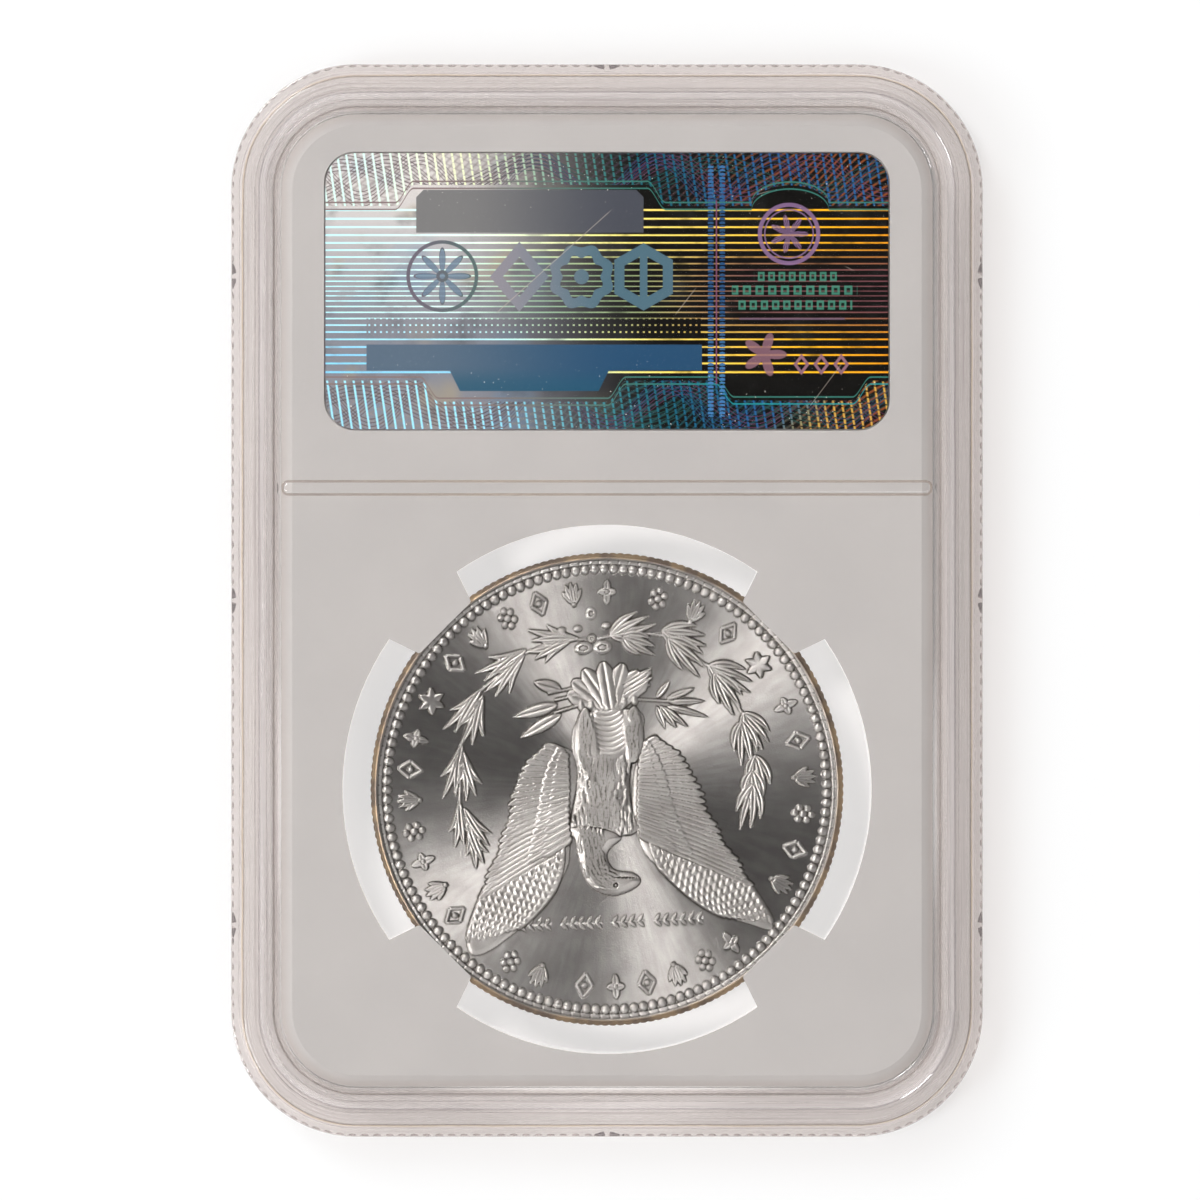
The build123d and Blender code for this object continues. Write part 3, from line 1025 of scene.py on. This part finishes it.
def disc_grid(cells):
    """A square grid bent onto a disc of radius 1: points, quads and the order of the points on its edge."""
    steps = np.linspace(-1, 1, cells + 1)
    a, b = (g.ravel() for g in np.meshgrid(steps, steps))
    wide = np.abs(a) > np.abs(b)
    radius = np.where(wide, a, b)
    ratio = np.where(wide, b, a) / np.where(radius == 0, 1, radius)
    angle = np.where(wide, ratio * np.pi / 4, np.pi / 2 - ratio * np.pi / 4)
    points = np.stack((radius * np.cos(angle), radius * np.sin(angle)), 1)
    index = np.arange((cells + 1) ** 2).reshape(cells + 1, cells + 1)
    quads = np.stack((index[:-1, :-1], index[:-1, 1:], index[1:, 1:], index[1:, :-1]), -1).reshape(-1, 4)
    edge = np.concatenate((index[0, :-1], index[:-1, -1], index[-1, :0:-1], index[:0:-1, 0]))
    return points, quads, edge


def crevices(height, cells):
    """How far each point of a face lies below what is round it, from 0 to 1; it sets the painted shade in the
    coin's hollows.
    """
    grid = height.reshape(cells + 1, cells + 1)
    padded = np.pad(grid, 2, mode="edge")
    around_it = sum(padded[i : i + cells + 1, j : j + cells + 1] for i in range(5) for j in range(5)) / 25
    return np.clip((around_it - grid) / 0.05, 0, 1).ravel()


def strike_obverse(x, y):
    """Heights and frosting of the front face: a rosette in a laurel ring, inside a ring of stars."""
    relief = Relief(x, y)
    for i in range(13):
        star(relief, 2 * math.pi * (i + 0.5) / 13, 15.6, 1.2)
    for i in range(36):
        turn = 2 * math.pi * i / 36
        for side in (-1, 1):
            tip = toward(turn + 0.23) * (11.4 + side * 1.25)
            relief.leaf(toward(turn) * 11.4, tip, 0.8, 0.17, vein=0.4, base=0.02)
    for petals, reach, width in ((16, 7.6, 2.0), (16, 5.2, 1.5), (8, 2.8, 1.4)):
        for i in range(petals):
            turn = 2 * math.pi * (i + 0.5 * (reach < 6)) / petals
            relief.leaf((0, 0), toward(turn) * reach, width, 0.16, vein=0.4, base=0.03, blunt=0.6)
    relief.dome((0, 0), (0.9, 0.9), 0.26, over=True)
    rim_and_beads(relief)
    return relief


def build_coin():
    """The struck coin: relief on both faces and a reeded edge between them, in place of the plain disc."""
    centre = (coin_low[:2] + coin_high[:2]) / 2
    top, bottom = coin_high[2], coin_low[2]
    rear_points, rear_quads, rear_edge = disc_grid(REVERSE_CELLS)
    front_points, front_quads, front_edge = disc_grid(OBVERSE_CELLS)
    face_radius = COIN_RADIUS - 0.12
    rear_points, front_points = rear_points * face_radius, front_points * face_radius
    rear = strike_reverse(*rear_points.T)
    front = strike_obverse(*front_points.T)
    rear_height = top - FIELD_DEPTH + np.minimum(rear.height, FIELD_DEPTH)
    front_height = bottom + FIELD_DEPTH - np.minimum(front.height, FIELD_DEPTH)
    angle = np.arctan2(*rear_points[rear_edge].T[::-1])
    reeds = REED_DEPTH * (1 - np.abs(np.sin(angle * REED_COUNT / 2)) ** 0.7)
    direction = np.stack((np.cos(angle), np.sin(angle)), 1)
    rear_rim, front_rim = rear_height[rear_edge[0]], front_height[front_edge[0]]
    walls = []
    for height, cut in (
        (rear_rim - 0.1, 0.75), (rear_rim - 0.2, 1), (front_rim + 0.2, 1), (front_rim + 0.1, 0.75),
    ):
        points = direction * (COIN_RADIUS - reeds * cut)[:, None]
        walls.append(np.column_stack((points, np.full(len(points), height))))
    blocks = [
        np.column_stack((rear_points, rear_height)), *walls, np.column_stack((front_points, front_height)),
    ]
    starts = np.cumsum([0] + [len(block) for block in blocks])
    loops = [rear_edge] + [np.arange(len(rear_edge)) + starts[i + 1] for i in range(4)]
    faces = rear_quads.tolist() + (front_quads[:, ::-1] + starts[5]).tolist()
    count = len(rear_edge)
    for upper, lower in zip(loops, loops[1:]):
        following = np.roll(np.arange(count), -1)
        quads = np.stack((upper, lower, lower[following], upper[following]), 1)
        faces += quads.tolist()
    last, coarse = loops[-1], front_edge + starts[5]
    for i in range(len(coarse)):
        a, b, c = last[2 * i], last[2 * i + 1], last[(2 * i + 2) % count]
        faces.append([int(v) for v in (a, coarse[i], coarse[(i + 1) % len(coarse)], c, b)])
    points = np.concatenate(blocks)
    points[:, :2] += centre
    mesh = bpy.data.meshes.new("struck_coin")
    mesh.from_pydata((points * MM).tolist(), [], faces)
    mesh.polygons.foreach_set("use_smooth", np.ones(len(mesh.polygons), bool))
    frost = np.concatenate((rear.frost, np.full(4 * count, 0.5), front.frost))
    # Where the coin's material paints a brown reflection: the rim's outer slope and the whole reeded edge.
    rim_reflection_masks = [smooth(np.hypot(*points.T), 18.48, 18.66) for points in (rear_points, front_points)]
    edge = np.concatenate((rim_reflection_masks[0], np.ones(4 * count), rim_reflection_masks[1]))
    # Painted shade for the relief's hollows, kept on the points.
    painted_hollow_shade = np.concatenate((
        crevices(rear.height, REVERSE_CELLS), np.zeros(4 * count), crevices(front.height, OBVERSE_CELLS)
    ))
    for name, values in (("frost", frost), ("edge", edge), ("crevice_shade", painted_hollow_shade)):
        mesh.attributes.new(name, "FLOAT", "POINT").data.foreach_set("value", values.astype(np.float32))
    piece = add_object("struck_coin", mesh)
    mesh.materials.append(silver_material())
    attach(piece, "coin")
    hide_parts("coin")


def attribute(tree, name):
    """A value painted on the mesh's points."""
    node = tree.nodes.new("ShaderNodeAttribute")
    node.attribute_name = name
    return Field(tree, node.outputs["Fac"])


def silver_material():
    """Struck silver: fields with radial flow lines that make the cartwheel lustre, and frosted devices, with
    painted shade in the relief's hollows and a painted brown reflection on the rim and edge.
    """
    material, tree, field = new_material("coin_silver")
    nodes, links = tree.nodes, tree.links
    x, y = places(tree)
    crevice_shade = attribute(tree, "crevice_shade")
    haze = smooth(clouds(x, y, 0.5, 5), 0.35, 0.7)
    across, along, radius = around(x, y, (coin_low[:2] + coin_high[:2]) / 2)
    bearing = angle_of(across, along)
    flow = smooth(clouds(bearing * 24, radius * 0.3, 1.0, 4), 0.35, 0.7)
    bright = blend(blend((0.47, 0.45, 0.432), (0.39, 0.37, 0.352), haze), (0.33, 0.312, 0.296), flow * 0.6)
    # Near-black painted shade in the hollows, on fields and devices alike.
    plug(blend(bright, (0.085, 0.075, 0.065), crevice_shade), field.inputs["Base Color"])
    set_inputs(field, Metallic=1.0, Roughness=0.3, Anisotropic=1.0)
    tangent = nodes.new("ShaderNodeTangent")
    tangent.direction_type = "RADIAL"
    tangent.axis = "Z"
    links.new(tangent.outputs["Tangent"], field.inputs["Tangent"])
    device = nodes.new("ShaderNodeBsdfPrincipled")
    soft = blend((0.455, 0.433, 0.412), (0.385, 0.363, 0.343), haze)
    plug(blend(soft, (0.085, 0.075, 0.065), crevice_shade), device.inputs["Base Color"])
    set_inputs(device, Metallic=1.0, Roughness=0.36)
    grain = clouds(x, y, 6.0, 5) + clouds(bearing * 110, radius * 0.6, 1.0, 2) * 0.5
    roughen(tree, grain, 0.5, 0.028, field, device)
    mix = nodes.new("ShaderNodeMixShader")
    plug(attribute(tree, "frost"), mix.inputs["Fac"])
    links.new(field.outputs["BSDF"], mix.inputs[1])
    links.new(device.outputs["BSDF"], mix.inputs[2])
    # Painted reflection: warm brown on the rim and the reeded edge.
    rim = nodes.new("ShaderNodeBsdfPrincipled")
    painted_rim_reflection = blend((0.31, 0.23, 0.15), (0.18, 0.14, 0.11), smooth(clouds(x, y, 0.5, 3), 0.4, 0.6))
    plug(painted_rim_reflection, rim.inputs["Base Color"])
    set_inputs(rim, Metallic=1.0, Roughness=0.4)
    whole = nodes.new("ShaderNodeMixShader")
    plug(attribute(tree, "edge"), whole.inputs["Fac"])
    links.new(mix.outputs["Shader"], whole.inputs[1])
    links.new(rim.outputs["BSDF"], whole.inputs[2])
    links.new(whole.outputs["Shader"], nodes["Material Output"].inputs["Surface"])
    return material


# ---- Hologram film -------------------------------------------------------------------------------------

FILM_WIDTH, FILM_HEIGHT = film_high[:2] - film_low[:2]


def frame_box(x, down, left, right, upper, lower, soft=0.04):
    """1 inside a rectangle given in millimetres from the film's upper left corner, 0 outside it."""
    across = smooth(x, left - soft, left + soft) * (1 - smooth(x, right - soft, right + soft))
    return across * smooth(down, upper - soft, upper + soft) * (1 - smooth(down, lower - soft, lower + soft))


def stripes(phase, share, soft):
    """Thin parallel lines, one for each whole number that the phase passes."""
    off = absolute(fraction(phase + 0.5) - 0.5)
    return 1 - smooth(off, share / 2 - soft, share / 2 + soft)


def thread(distance, half):
    """A line of the given half width along which a distance is zero."""
    return 1 - smooth(absolute(distance), half - 0.025, half + 0.045)


def shift(value, x, left, right):
    """A contour's sidestep between two places, with sloping ends."""
    return value * smooth(x, left, left + 1.5) * (1 - smooth(x, right - 1.5, right))


def around(x, down, centre):
    """Offsets and distance from a centre."""
    dx, dy = x - centre[0], down - centre[1]
    return dx, dy, root(dx * dx + dy * dy)


def film_ground(x, down, light):
    """The bare film: a pale sheen at the left that dies away to black, with faint rainbow patches."""
    black = (0.06, 0.055, 0.05)
    grey = blend((0.76, 0.745, 0.735), (0.47, 0.48, 0.51), smooth(down, 2, 15))
    ground = blend(black, grey, light)
    patches = clouds(x, down, 0.16, 2)
    ground = blend(ground, (0.66, 0.58, 0.42), smooth(patches, 0.56, 0.72) * light * 0.4)
    ground = blend(ground, (0.36, 0.47, 0.58), (1 - smooth(patches, 0.3, 0.46)) * light * 0.4)
    return blend(ground, (0.20, 0.21, 0.22), smooth(clouds(x, down, 0.3, 4), 0.5, 0.8) * 0.5)


def film_rules(x, down, light, far):
    """Ruled lines across the film, closer together towards its middle, and their colours."""
    away = absolute(down - FILM_HEIGHT / 2)
    count = (root(away * 0.0584 + 0.136) - 0.3687) / 0.0292
    lines = stripes(count, 0.22, 0.09) * (1 - smooth(away, 6.62, 6.68))
    gaps = smooth(absolute(fraction(x / 0.47) - 0.5), 0.12, 0.22)
    lines = lines * (1 - frame_box(x, down, 3.3, 30.2, 13.3, 14.9) * gaps)
    colour = ramp(x / FILM_WIDTH, (
        (0.0, (0.72, 0.96, 0.98)), (0.24, (0.88, 1.0, 0.96)), (0.38, (0.93, 0.99, 0.76)),
        (0.53, (1.0, 0.93, 0.50)), (0.7, (1.0, 0.83, 0.34)), (0.86, (1.0, 0.74, 0.14)), (1.0, (0.94, 0.6, 0.12)),
    ))
    colour = blend(colour, (0.44, 0.76, 0.94), light * smooth(down, 12, 17) * 0.8)
    dim = 1 - smooth(away, 1.4, 4.2)
    colour = blend(colour, (0.36, 0.22, 0.33), dim * far * 0.85)
    teal = smooth(x, 8, 19) * (1 - smooth(x, 24, 31))
    colour = blend(colour, (0.26, 0.44, 0.42), dim * teal * 0.6)
    uneven = 1 - smooth(clouds(x, down, 0.5, 3), 0.5, 0.75) * 0.45
    return lines * uneven, colour


def film_bands(colour, x, down, band, under, light, far):
    """Guilloche along the upper and lower edges: hatching, bundles of waves and bright slanting dashes."""
    y = FILM_HEIGHT - down
    sway = sine(x * 0.62) * 0.35
    slants = stripes((x * 0.616 - y * 0.788 + sway) / 0.5, 0.34, 0.14)
    counter = stripes((x * 0.35 + y * 0.94 + sway * 0.7) / 0.52, 0.22, 0.12)
    warm = blend((0.22, 0.18, 0.23), (0.70, 0.36, 0.18), smooth(x, 24, 40) * 0.9)
    cool = blend(warm, (0.11, 0.31, 0.35), under * (1 - smooth(x, 33, 42)))
    hatch = blend(cool, (0.50, 0.47, 0.46), light)
    colour = blend(colour, hatch, band * slants * (0.7 - light * 0.25))
    colour = blend(colour, blend((0.17, 0.22, 0.22), (0.54, 0.51, 0.50), light), band * counter * 0.5)
    for start, swing, pace, tint in (
        (0.0, 1.5, 0.55, (0.38, 0.22, 0.33)), (2.1, 1.2, 0.42, (0.13, 0.30, 0.28)), (4.0, 1.7, 0.66, (0.17, 0.24, 0.42)),
    ):
        for centre in (2.0, 20.3):
            curve = down - centre - sine(x * pace + (start + centre)) * swing
            bundle = stripes(curve / 0.3, 0.24, 0.12) * (1 - smooth(absolute(curve), 0.65, 0.8))
            colour = blend(colour, blend(tint, (0.31, 0.27, 0.28), light), band * bundle * 0.8)
    uprights = stripes((x + y * 0.15) / 0.71, 0.24, 0.09)
    dashes = smooth(fraction(y * 2.1 + x * 0.2), 0.12, 0.32)
    dashes = blend_number(dashes, 1, light * (1 - smooth(x, 8, 14)))
    bright = blend((0.80, 0.93, 0.89), (0.92, 0.93, 0.76), smooth(x, 2, 12))
    bright = blend(bright, (0.58, 0.84, 0.93), under)
    dull = blend((0.08, 0.34, 0.36), (0.14, 0.33, 0.52), far)
    dull = blend(dull, (0.92, 0.66, 0.20), under * smooth(x + down, 57, 62) * 0.8)
    return blend(colour, blend(dull, bright, light), band * uprights * dashes)


def film_banners(colour, x, down):
    """Blank banners where printing would stand."""
    grey = blend((0.43, 0.43, 0.43), (0.26, 0.27, 0.30), smooth(x, 10, 25))
    corner = smooth(smaller(x - 7.3, 25.6 - x) + down - 2.95, 0.55, 0.63)
    colour = blend(colour, grey, frame_box(x, down, 7.3, 25.6, 2.95, 6.4) * corner)
    blue = blend((0.32, 0.38, 0.44), (0.15, 0.27, 0.38), smooth(x, 6, 26))
    blue = blend(blue, (0.14, 0.30, 0.38), smooth(down, 17, 19) * 0.6)
    slope = (down - 17.4) * 0.5
    tab = smooth(x - slope, 9.9, 10.0) * (1 - smooth(x + slope, 22.8, 22.9))
    tab = tab * smooth(down, 17.3, 17.4) * (1 - smooth(down, 19.1, 19.18))
    return blend(colour, blue, larger(frame_box(x, down, 3.3, 30.3, 15.4, 17.5), tab))


def film_figures(colour, x, down):
    """Large plain figures: a wheel of petals, a lozenge, a lobed ring and a hexagon."""
    dx, dy, radius = around(x, down, (9.4, 9.9))
    petals = radius - cosine(angle_of(dx, dy) * 8) - 1.25
    colour = blend(colour, (0.36, 0.43, 0.50), (1 - smooth(petals, -0.05, 0.05)) * 0.8)
    dark = blend((0.38, 0.36, 0.40), (0.32, 0.38, 0.38), smooth(x, 7, 12))
    wheel = larger(thread(radius - 2.75, 0.13), thread(radius - 0.35, 0.12))
    colour = blend(colour, dark, larger(thread(petals, 0.06), wheel))
    figure = blend((0.50, 0.49, 0.52), (0.28, 0.38, 0.43), smooth(x, 13, 24))
    lozenge = absolute(x - 15.6) + absolute(down - 9.95) * 0.836 - 1.85
    colour = blend(colour, figure, thread(lozenge, 0.5))
    dx, dy, radius = around(x, down, (20.6, 9.95))
    lobes = radius + cosine(angle_of(dx, dy) * 8) * 0.16
    colour = blend(colour, figure, larger(thread(lobes - 2.1, 0.42), 1 - smooth(radius, 0.55, 0.65)))
    dx, dy, radius = around(x, down, (25.6, 9.95))
    hexagon = larger(absolute(dx), absolute(dx) * 0.5 + absolute(dy) * 0.866)
    return blend(colour, figure, larger(thread(hexagon - 1.95, 0.4), thread(dx, 0.3) * thread(dy, 1.9)))


def film_side_panel(colour, x, down):
    """Right-hand panel: a ringed rosette, rows of small squares, a flower and three lozenges."""
    purple = (0.47, 0.37, 0.51)
    dx, dy, radius = around(x, down, (37.3, 6.5))
    turn = angle_of(dx, dy)
    petals = radius - cosine(turn * 7) * 0.55 - 1.0
    ribs = smooth(sine(turn * 42), -0.5, 0.4) * 0.45 + 0.55
    rings = larger(thread(radius - 2.35, 0.16), thread(radius - 1.95, 0.05))
    colour = blend(colour, purple, larger(rings, (1 - smooth(petals, -0.05, 0.1)) * ribs) * 0.9)
    for top, left, right, pitch in ((9.55, 34.5, 41.4, 0.83), (10.65, 32.7, 42.8, 1.02), (11.85, 33.2, 42.4, 0.9)):
        solid = smooth(sine(x * (2 * math.pi / pitch)), -0.55, -0.35)
        hollow = thread(fraction(x / pitch) - 0.25, 0.13) * frame_box(x, down, left, right, top + 0.2, top + 0.55)
        row = solid * (1 - hollow * 0.85) * frame_box(x, down, left, right, top, top + 0.75)
        colour = blend(colour, (0.25, 0.50, 0.42), row * 0.85)
    colour = blend(colour, (0.38, 0.31, 0.40), frame_box(x, down, 33.3, 41.8, 13.25, 13.42) * 0.8)
    plum = (0.49, 0.36, 0.41)
    dx, dy, radius = around(x, down, (35.3, 16.2))
    flower = radius - cosine(angle_of(dx, dy) * 5) * 0.6 - 1.2
    colour = blend(colour, plum, (1 - smooth(flower, -0.05, 0.1)) * 0.85)
    for centre in (38.3, 39.9, 41.5):
        lozenge = absolute(x - centre) + absolute(down - 17.0) * 0.75 - 0.5
        colour = blend(colour, plum, thread(lozenge, 0.14))
    return colour


def film_strip(colour, x, down):
    """Two upright columns of small blue scallops with a purple line between them."""
    glow = blend((0.15, 0.28, 0.43), (0.24, 0.43, 0.62), smooth(absolute(down - 9), 3, 10))
    for centre, start in ((31.0, 0.0), (31.93, 0.4)):
        cut = smooth(absolute(fraction(down / 0.3) - absolute(x - centre) * 0.9), 0.2, 0.3)
        beat = smooth(fraction(down / 0.9 + start), 0.1, 0.16)
        marks = thread(x - centre, 0.22) * cut * beat * frame_box(x, down, 30.7, 32.3, 0.9, 21.2)
        colour = blend(colour, glow, marks)
    line = frame_box(x, down, 31.0, 32.0, 3.8, 18.6) * thread(x - 31.46, 0.05)
    return blend(colour, (0.42, 0.26, 0.36), line)


def film_scratches(colour, x, down):
    """A few long hairline scratches."""
    for start, end in (
        ((13.6, 13.0), (23.2, 4.4)), ((28.0, 13.2), (30.0, 10.6)), ((38.8, 20.6), (41.8, 16.6)),
        ((34.5, 3.4), (36.2, 2.9)), ((41.6, 9.0), (42.8, 9.6)),
    ):
        run, drop = end[0] - start[0], end[1] - start[1]
        length = math.hypot(run, drop)
        beside = (x - start[0]) * (drop / length) - (down - start[1]) * (run / length)
        along = (x - start[0]) * (run / length) + (down - start[1]) * (drop / length)
        span = smooth(along, 0, 0.6) * (1 - smooth(along, length - 0.8, length))
        colour = blend(colour, (0.66, 0.62, 0.58), span * thread(beside, 0.02) * 0.7)
    specks = smooth(clouds(x, down, 4.2, 1), 0.735, 0.77) * smooth(absolute(down - 11), 3, 9)
    return blend(colour, (0.85, 0.84, 0.80), specks * 0.8)


def film_colour(x, down):
    """Colour of the film at x millimetres from its left edge and down millimetres from its upper edge."""
    light = 1 - smooth(x - down * 0.12, 8, 27)
    far = smooth(x, 22, 36)
    arch = root(larger(1 - ((x - 37.4) / 3.1) * ((x - 37.4) / 3.1), 0))
    upper = 4.25 - shift(1.7, x, 5.6, 27.4) - arch * 1.65
    lower = 18.3 + shift(1.7, x, 7.6, 24.2) + shift(1.6, x, 31.4, 43.9)
    over = 1 - smooth(down - upper, -0.02, 0.02)
    under = smooth(down - lower, -0.02, 0.02)
    band = larger(over, under)
    colour = film_ground(x, down, light)
    lines, line_colour = film_rules(x, down, light, far)
    colour = blend(colour, line_colour, lines * (1 - band))
    colour = film_bands(colour, x, down, band, under, light, far)
    contour = blend((0.20, 0.42, 0.38), (0.47, 0.41, 0.40), light)
    contour = blend(contour, (0.13, 0.50, 0.52), under * smooth(x, 24, 34))
    for edge in (upper, lower):
        for offset in (-0.28, 0.28):
            colour = blend(colour, contour, thread(down - edge + offset, 0.05))
    colour = film_banners(colour, x, down)
    colour = film_figures(colour, x, down)
    colour = film_side_panel(colour, x, down)
    colour = film_strip(colour, x, down)
    return film_scratches(colour, x, down)


def film_material():
    """Holographic film: ruled, guilloched foil under a glossy face, its hues shifting as it is tilted."""
    material, tree, shader = new_material("hologram_film")
    x, y = places(tree)
    colour = as_light(film_colour(x - film_low[0], film_high[1] - y))
    facing = tree.nodes.new("ShaderNodeLayerWeight")
    set_inputs(facing, Blend=0.35)
    tilt = tree.nodes.new("ShaderNodeMapRange")
    set_inputs(tilt, From_Min=0.0, From_Max=1.0, To_Min=0.5, To_Max=0.95)
    tree.links.new(facing.outputs["Facing"], tilt.inputs["Value"])
    hues = tree.nodes.new("ShaderNodeHueSaturation")
    tree.links.new(tilt.outputs["Result"], hues.inputs["Hue"])
    set_inputs(hues, Value=1.5)
    tree.links.new(colour, hues.inputs["Color"])
    tree.links.new(hues.outputs["Color"], shader.inputs["Base Color"])
    set_inputs(shader, Roughness=0.3, Specular_IOR_Level=0.12, Coat_Weight=0.35, Coat_Roughness=0.03)
    roughen(tree, clouds(x, y, 0.5, 4), 0.3, 0.03, shader)
    return material


# ---- Certificate card -----------------------------------------------------------------------------------


def card_colour(x, down):
    """Colour of the front card at x millimetres from its left edge and down millimetres from its top."""
    colour = blend((0.93, 0.92, 0.90), (0.90, 0.89, 0.86), smooth(clouds(x, down, 0.15, 3), 0.35, 0.65))
    for pace, swing, step in ((0.55, 1.1, 0.5), (0.8, 0.7, 0.62)):
        waves = stripes((down + sine(x * pace) * swing) / step, 0.16, 0.07)
        colour = blend(colour, (0.68, 0.78, 0.85), waves * 0.6)
    plain = frame_box(x, down, 2.4, 42.9, 7.2, 19.8) * 0.75
    colour = blend(colour, (0.94, 0.93, 0.91), plain)
    edge = smaller(smaller(x, FILM_WIDTH - x), smaller(down, FILM_HEIGHT - down))
    colour = blend(colour, (0.62, 0.50, 0.26), larger(thread(edge - 0.8, 0.13), thread(edge - 1.25, 0.05)))
    colour = blend(colour, (0.17, 0.25, 0.38), frame_box(x, down, 2.4, 42.9, 2.2, 6.4))
    colour = blend(colour, (0.62, 0.50, 0.26), frame_box(x, down, 2.4, 42.9, 6.55, 6.75))
    for upper, right, depth in ((8.4, 25.0, 1.5), (11.0, 18.0, 1.1), (13.0, 21.5, 1.1), (15.0, 15.0, 1.1)):
        line = frame_box(x, down, 3.6, right, upper, upper + depth)
        words = smooth(absolute(fraction(x / 3.7 + upper) - 0.5), 0.06, 0.09)
        colour = blend(colour, (0.42, 0.43, 0.45), line * words * 0.8)
    dx, dy, radius = around(x, down, (36.0, 13.4))
    turn = angle_of(dx, dy)
    seal = thread(radius - 4.6, 0.25) + thread(radius - 3.9, 0.07)
    petals = radius - cosine(turn * 12) * 0.5 - 2.7
    ribs = smooth(sine(turn * 48), -0.4, 0.4) * 0.5 + 0.4
    seal = larger(seal, (1 - smooth(petals, -0.05, 0.1)) * ribs)
    colour = blend(colour, (0.62, 0.50, 0.26), smaller(seal, 1))
    return blend(colour, (0.94, 0.93, 0.91), 1 - smooth(radius, 0.9, 1.0))


def card_material():
    """Printed card, matt, with a fine paper grain."""
    material, tree, shader = new_material("printed_card")
    x, y = places(tree)
    tree.links.new(as_light(card_colour(card_high[0] - x, card_high[1] - y)), shader.inputs["Base Color"])
    set_inputs(shader, Roughness=0.6)
    roughen(tree, clouds(x, y, 5.0, 4), 0.25, 0.01, shader)
    return material


# ---- Studio --------------------------------------------------------------------------------------------


LIGHT_DISTANCE = 2.0


def area_light(name, azimuth, elevation, size, power):
    """A softbox that faces the slab, placed by its azimuth from +X and its elevation, in degrees."""
    lamp = bpy.data.lights.new(name, "AREA")
    lamp.shape = "RECTANGLE"
    lamp.size, lamp.size_y = size
    lamp.energy = power
    holder = add_object(name, lamp)
    a, e = math.radians(azimuth), math.radians(elevation)
    place = np.array((math.cos(a) * math.cos(e), math.sin(a) * math.cos(e), math.sin(e))) * LIGHT_DISTANCE
    holder.location = place
    holder.rotation_euler = Vector(place).to_track_quat("Z", "Y").to_euler()


def light_table():
    """Pale floor that glows a little, most under the slab's coin, as a light table does."""
    material, tree, shader = new_material("floor")
    nodes, links = tree.nodes, tree.links
    set_inputs(shader, Base_Color=(0.68, 0.68, 0.68, 1), Roughness=0.9, Specular_IOR_Level=0.0)
    coordinates = nodes.new("ShaderNodeTexCoord")
    away = nodes.new("ShaderNodeVectorMath")
    away.operation = "DISTANCE"
    centre = (coin_low + coin_high) / 2 * MM
    away.inputs[1].default_value = (centre[0], centre[1], 0)
    links.new(coordinates.outputs["Object"], away.inputs[0])
    glow = nodes.new("ShaderNodeMapRange")
    glow.interpolation_type = "SMOOTHSTEP"
    set_inputs(glow, From_Min=23 * MM, From_Max=29 * MM, To_Min=0.72, To_Max=0.2)
    links.new(away.outputs["Value"], glow.inputs["Value"])
    links.new(glow.outputs["Result"], shader.inputs["Emission Strength"])
    shader.inputs["Emission Color"].default_value = (1, 1, 1, 1)
    return material


def studio_walls():
    """Pale walls at the horizon that fall away to a dark ceiling."""
    world = bpy.data.worlds.new("studio")
    world.use_nodes = True
    tree = world.node_tree
    coordinates = tree.nodes.new("ShaderNodeTexCoord")
    split = tree.nodes.new("ShaderNodeSeparateXYZ")
    tree.links.new(coordinates.outputs["Generated"], split.inputs["Vector"])
    height = tree.nodes.new("ShaderNodeMapRange")
    set_inputs(height, From_Min=0.1, From_Max=0.85, To_Min=0.62, To_Max=0.03)
    tree.links.new(split.outputs["Z"], height.inputs["Value"])
    background = tree.nodes["Background"]
    set_inputs(background, Color=(0.97, 0.98, 1.0, 1))
    tree.links.new(height.outputs["Result"], background.inputs["Strength"])
    return world


def studio():
    """Pale floor, soft light from above and a camera straight over the slab."""
    floor_mesh = bpy.data.meshes.new("floor")
    reach = 3.0
    floor_mesh.from_pydata(
        [(-reach, -reach, 0), (reach, -reach, 0), (reach, reach, 0), (-reach, reach, 0)], [], [(0, 1, 2, 3)]
    )
    floor = add_object("floor", floor_mesh)
    floor.data.materials.append(light_table())

    bpy.context.scene.world = studio_walls()

    area_light("key_upper_left", 129, 52, (0.56, 0.56), 23.5)
    area_light("fill_left", 202, 52, (0.5, 0.5), 21.5)
    area_light("fill_right", 309, 57, (1.2, 0.9), 8.0)

    camera_data = bpy.data.cameras.new("camera")
    camera = add_object("camera", camera_data)
    distance = 0.9
    view_width = 96.35 * MM
    camera_data.sensor_width = 36.0
    camera_data.lens = 36.0 * distance / view_width
    camera.location = (-0.56 * MM, 0.04 * MM, distance + SLAB_TOP * MM)
    camera.rotation_euler = (0, 0, 0)
    camera_data.clip_start = 0.01
    camera_data.clip_end = 20
    bpy.context.scene.camera = camera


plain_colours_and_deep_glass()
studio()
build_shells()
paint_node("insert", insert_material())
build_coin()
paint_node("hologram_label", film_material())
paint_node("certificate_label", card_material())
